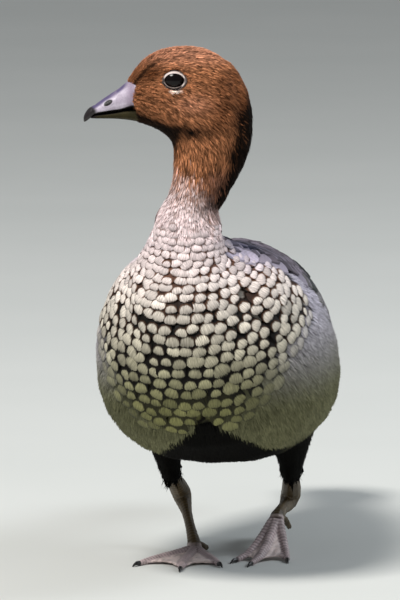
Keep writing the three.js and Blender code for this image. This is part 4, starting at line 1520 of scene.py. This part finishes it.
horn = horn_material("bill_horn", roughness=0.4, grain=1300, depth=0.12 * MM)
dull_horn = horn_material("bill_under", roughness=0.7, grain=1300, depth=0.12 * MM, specular=0.15)
upper = headward_loft("bill_upper", UPPER_BILL, 1.15, 0.5)
bore = nostril_bore()
cut = upper.modifiers.new("Nostril", "BOOLEAN")
cut.operation = "DIFFERENCE"
cut.object = bore
remesh(upper, BILL_VOXEL, rounds=6)
bpy.data.objects.remove(bore)
points = point_array(upper.data)
forward, left, up = head_place(points)
top, bottom = top_and_bottom(UPPER_BILL, forward)
nostril = from_nostril(forward, up)
rim = bell((nostril - 1.35) / 0.3)
nail_groove = bell((forward - 55.6 - 0.12 * left**2) / 0.45) * ramp(up - bottom, 0.5, 1.5)
ridge_groove = bell((top - up - 2.1) / 0.7) * ramp(forward, 38, 43) * ramp(forward, 56, 52)
tomium = bell((up - bottom - 1.1) / 0.4) * ramp(forward, 57, 54)
displaced(upper, MM * (0.18 * rim - 0.14 * nail_groove - 0.1 * ridge_groove - 0.1 * tomium))
normals = normal_array(point_array(upper.data), triangle_array(upper.data))
tint = blend_of(ramp(forward, 41, 36), BILL_SIDE, BILL_BASE)
tint = tint * column(0.9 + 0.2 * mottle(points, 1.6 * MM, seed=5))
tint = blend_of(0.95 * ramp(top - up, 2.6, 0.8) * ramp(forward, 36, 41), tint, BILL_RIDGE)
stains = 0.4 * ramp(mottle(points, 2.5 * MM, seed=7), 0.45, 0.75) * ramp(forward, 50, 44)
tint = blend_of(stains, tint, BILL_BASE)
tint = blend_of(ramp(up - bottom, 1.1, 0.5), tint, BILL_EDGE)
tint = blend_of(ramp(forward + 0.06 * left**2 + 0.2 * (top - up), 56.4, 58.2), tint, BILL_NAIL)
# Painted shade on the upper bill's downward faces and in the nostril.
tint = blend_of(ramp(normals[:, 2], -0.55, -0.8), tint, BILL_SHADE)
tint = blend_of(ramp(nostril, 1.25, 0.95), tint, BILL_SHADE)
finish_bill(upper, tint, "upper_bill", horn)

lower = headward_loft("bill_lower", LOWER_BILL, 0.5, 1.0)
remesh(lower, BILL_VOXEL, rounds=6)
points = point_array(lower.data)
forward, _, up = head_place(points)
tint = np.tile(LOWER_BILL_SHADED, (len(points), 1)) * column(0.8 + 0.4 * mottle(points, 1.8 * MM, seed=6))
top, bottom = top_and_bottom(LOWER_BILL, forward)
# Painted shade along the mouth line and under the lower bill.
tint = blend_of(np.maximum(ramp(top - up, 1.0, 0.5), ramp(up - bottom, 0.9, 0.3)), tint, BILL_SHADE)
tint = blend_of(ramp(forward, 53, 57), tint, BILL_NAIL)
finish_bill(lower, tint, "lower_bill", dull_horn)

# ---------------------------------------------------------------- legs and claws
# Lines through the legs in millimetres, from the top of each shank to its ankle, and along each toe.
LEG_LINES = {
    "right": {
        "shank": [(-34.8, -22.5, 44.5), (-33.8, -3, 30), (-31.5, -1.5, 24), (-25, -17, 15.5), (-18, -37, 4)],
        "outer": [(-19.7, -38.5, 2.7), (-27.1, -51.3, 2.1), (-34.1, -64.3, 1.8), (-39.7, -76.5, 1.3)],
        "middle": [(-17.7, -39.5, 2.8), (-17.7, -55.5, 2.1), (-16.9, -71.5, 1.8), (-15.1, -86.9, 1.3)],
        "inner": [(-15.9, -38.5, 2.7), (-9.7, -48.9, 2.1), (-3.3, -59.5, 1.8), (2.1, -69.3, 1.3)],
    },
    "left": {
        "shank": [
            (29.8, -6.5, 44.6), (24, 20, 27), (21.8, 23.5, 20.4), (22.7, -2.5, 19.6), (23.3, -18.9, 17.2)
        ],
        "outer": [(25.1, -19.5, 16.8), (29.1, -28.9, 9.2), (32.7, -38.1, 3), (35.5, -48.5, 1.2)],
        "middle": [(23.3, -19.9, 17), (22.5, -33.9, 9.4), (21.1, -48.9, 3.2), (19.1, -64.1, 1.2)],
        "inner": [(21.5, -19.5, 16.8), (17.5, -30.9, 9.4), (13.5, -43.1, 3.1), (9.1, -55.7, 1.2)],
    },
}
TOES = ["outer", "middle", "inner"]
LEG_VOXEL = 0.5 * MM
CLAW_VOXEL = 0.25 * MM
SHANK_SCUTE = 2.4  # how long the scutes are on the shank and on the toes, in millimetres
TOE_SCUTE = 2.3
SCUTE_HEIGHT = 0.28
WEB_FOLD = 0.6
SHANK_TINT = colour(90, 74, 48)
SHANK_DARK = colour(36, 29, 22)
FOOT_TINT = colour(204, 184, 184)
WEB_TINT = colour(240, 220, 214)
FOOT_DARK = colour(76, 58, 64)
CLAW_TINT = colour(28, 24, 25)


def ridged(far, pitch):
    """The profile of scutes along a limb: each rises and drops to the next, from 0 to 1."""
    share = (far / pitch) % 1
    return np.minimum(share / 0.7, (1 - share) / 0.3)


leg_hide = horn_material("leg_hide", roughness=0.48, grain=1100, depth=0.2 * MM)
for name in SIDES:
    leg = remeshed("leg_" + name, ["shank_" + name, "foot_" + name], LEG_VOXEL, rounds=5)
    points = point_array(leg.data)
    lines = LEG_LINES[name]
    far, off = along_line(points, lines["shank"])
    toes = [along_line(points, lines[toe]) for toe in TOES]
    toe_off = np.min([toe[1] for toe in toes], axis=0)
    nearest = np.argmin([toe[1] for toe in toes], axis=0)
    toe_far = np.choose(nearest, [toe[0] for toe in toes])
    foot = ramp(off - toe_off, -1.0, 1.5)
    web = ramp(toe_off, 2.4, 3.6) * foot
    shank_scutes = ridged(far + 0.8 * mottle(points, 3 * MM, seed=8), SHANK_SCUTE)
    toe_scutes = ridged(toe_far, TOE_SCUTE)
    in_front = ramp(normal_array(points, triangle_array(leg.data))[:, 1], 0.3, -0.3)
    small_scales = ramp(mottle(points, 1.1 * MM, seed=13), 0.25, 0.5)
    shank_scutes = small_scales + in_front * (shank_scutes - small_scales)
    scutes = shank_scutes * (1 - foot) + toe_scutes * foot * (1 - web)
    folds = mottle(points * [1.0, 0.3, 1.0], 1.5 * MM, seed=9)
    displaced(leg, MM * (SCUTE_HEIGHT * (scutes - 0.4) * (1 - web) + WEB_FOLD * (folds - 0.5) * web))
    tint = blend_of(foot, SHANK_TINT, FOOT_TINT)
    tint = blend_of(web, tint, WEB_TINT)
    dark = blend_of(foot, SHANK_DARK, FOOT_DARK)
    # Darker in the grooves between scutes, patchily, and painted shade in the valleys of the web's folds.
    patchy = 0.4 + 0.6 * mottle(points, 4 * MM, seed=14)
    grooves_and_fold_shade = patchy * np.clip(0.9 - 1.5 * scutes, 0, 1) * (1 - web) + 0.4 * ramp(folds, 0.5, 0.2) * web
    tint = blend_of(0.9 * np.minimum(grooves_and_fold_shade, 1), tint, dark)
    tint = tint * column(0.72 + 0.5 * mottle(points, 5 * MM, seed=10))
    paint(leg, tint, leg_hide)
    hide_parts("shank_" + name, "foot_" + name)
    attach(leg, "root")

CLAWS = [f"claw_{side}_{toe}" for side in SIDES for toe in TOES]
claws = remeshed("claws", CLAWS, CLAW_VOXEL, rounds=5)
claw_points = point_array(claws.data)
claw_tint = CLAW_TINT * column(0.8 + 0.5 * mottle(claw_points, 0.9 * MM, seed=11))
paint(claws, claw_tint, horn_material("claw_horn", roughness=0.32, grain=1500, depth=0.06 * MM))
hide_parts(*CLAWS)
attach(claws, "root")

# ---------------------------------------------------------------- stage, light and camera
CAMERA_TURN = math.radians(12)
CAMERA_RISE = math.radians(8)
CAMERA_DISTANCE = 4.0
AIM = np.array([-14.94, -37.32, 139.63]) * MM  # the place at the middle of the picture
PICTURE_HEIGHT = 0.324  # how much of the duck's plane the picture's height takes in
FLOOR_SIZE = 12
LIT_PLACE = Vector((0, 0, 0.14))  # the duck's middle, which the lamps shine at

bpy.ops.mesh.primitive_plane_add(size=FLOOR_SIZE)
floor = bpy.context.object
floor.name = "floor"
floor_shader = Shader("floor", roughness=0.9, specular=0.1)
floor_grain = floor_shader.noise(floor_shader.place(), 6.0)
floor.data.materials.append(
    floor_shader.colour(floor_shader.mix(floor_grain, colour(214, 216, 212), colour(222, 223, 219)))
)


def lamp(name, place, size, power, tint):
    """A soft square lamp that shines at the duck's middle."""
    light = bpy.data.lights.new(name, "AREA")
    light.size = size
    light.energy = power
    light.color = tint
    holder = link(name, light)
    holder.location = place
    holder.rotation_euler = (LIT_PLACE - Vector(place)).to_track_quat("-Z", "Y").to_euler()


lamp("key", (-0.6, -1.0, 2.2), 0.7, 50, (1.0, 0.98, 0.95))
lamp("rim", (1.4, 0.8, 1.4), 0.8, 16, (0.86, 0.93, 1.0))
world = bpy.data.worlds.new("studio")
world.use_nodes = True
sky = world.node_tree.nodes["Background"].inputs
sky["Color"].default_value = (0.82, 0.86, 0.9, 1)
sky["Strength"].default_value = 0.3
bpy.context.scene.world = world
bpy.context.scene.view_settings.view_transform = "Standard"

back = Vector(
    (
        math.sin(CAMERA_TURN) * math.cos(CAMERA_RISE),
        -math.cos(CAMERA_TURN) * math.cos(CAMERA_RISE),
        math.sin(CAMERA_RISE),
    )
)
camera_data = bpy.data.cameras.new("camera")
camera_data.sensor_width = 36
camera_data.lens = camera_data.sensor_width * CAMERA_DISTANCE / PICTURE_HEIGHT
camera = link("camera", camera_data)
camera.location = Vector(AIM) + back * CAMERA_DISTANCE
camera.rotation_euler = back.to_track_quat("Z", "Y").to_euler()
bpy.context.scene.camera = camera
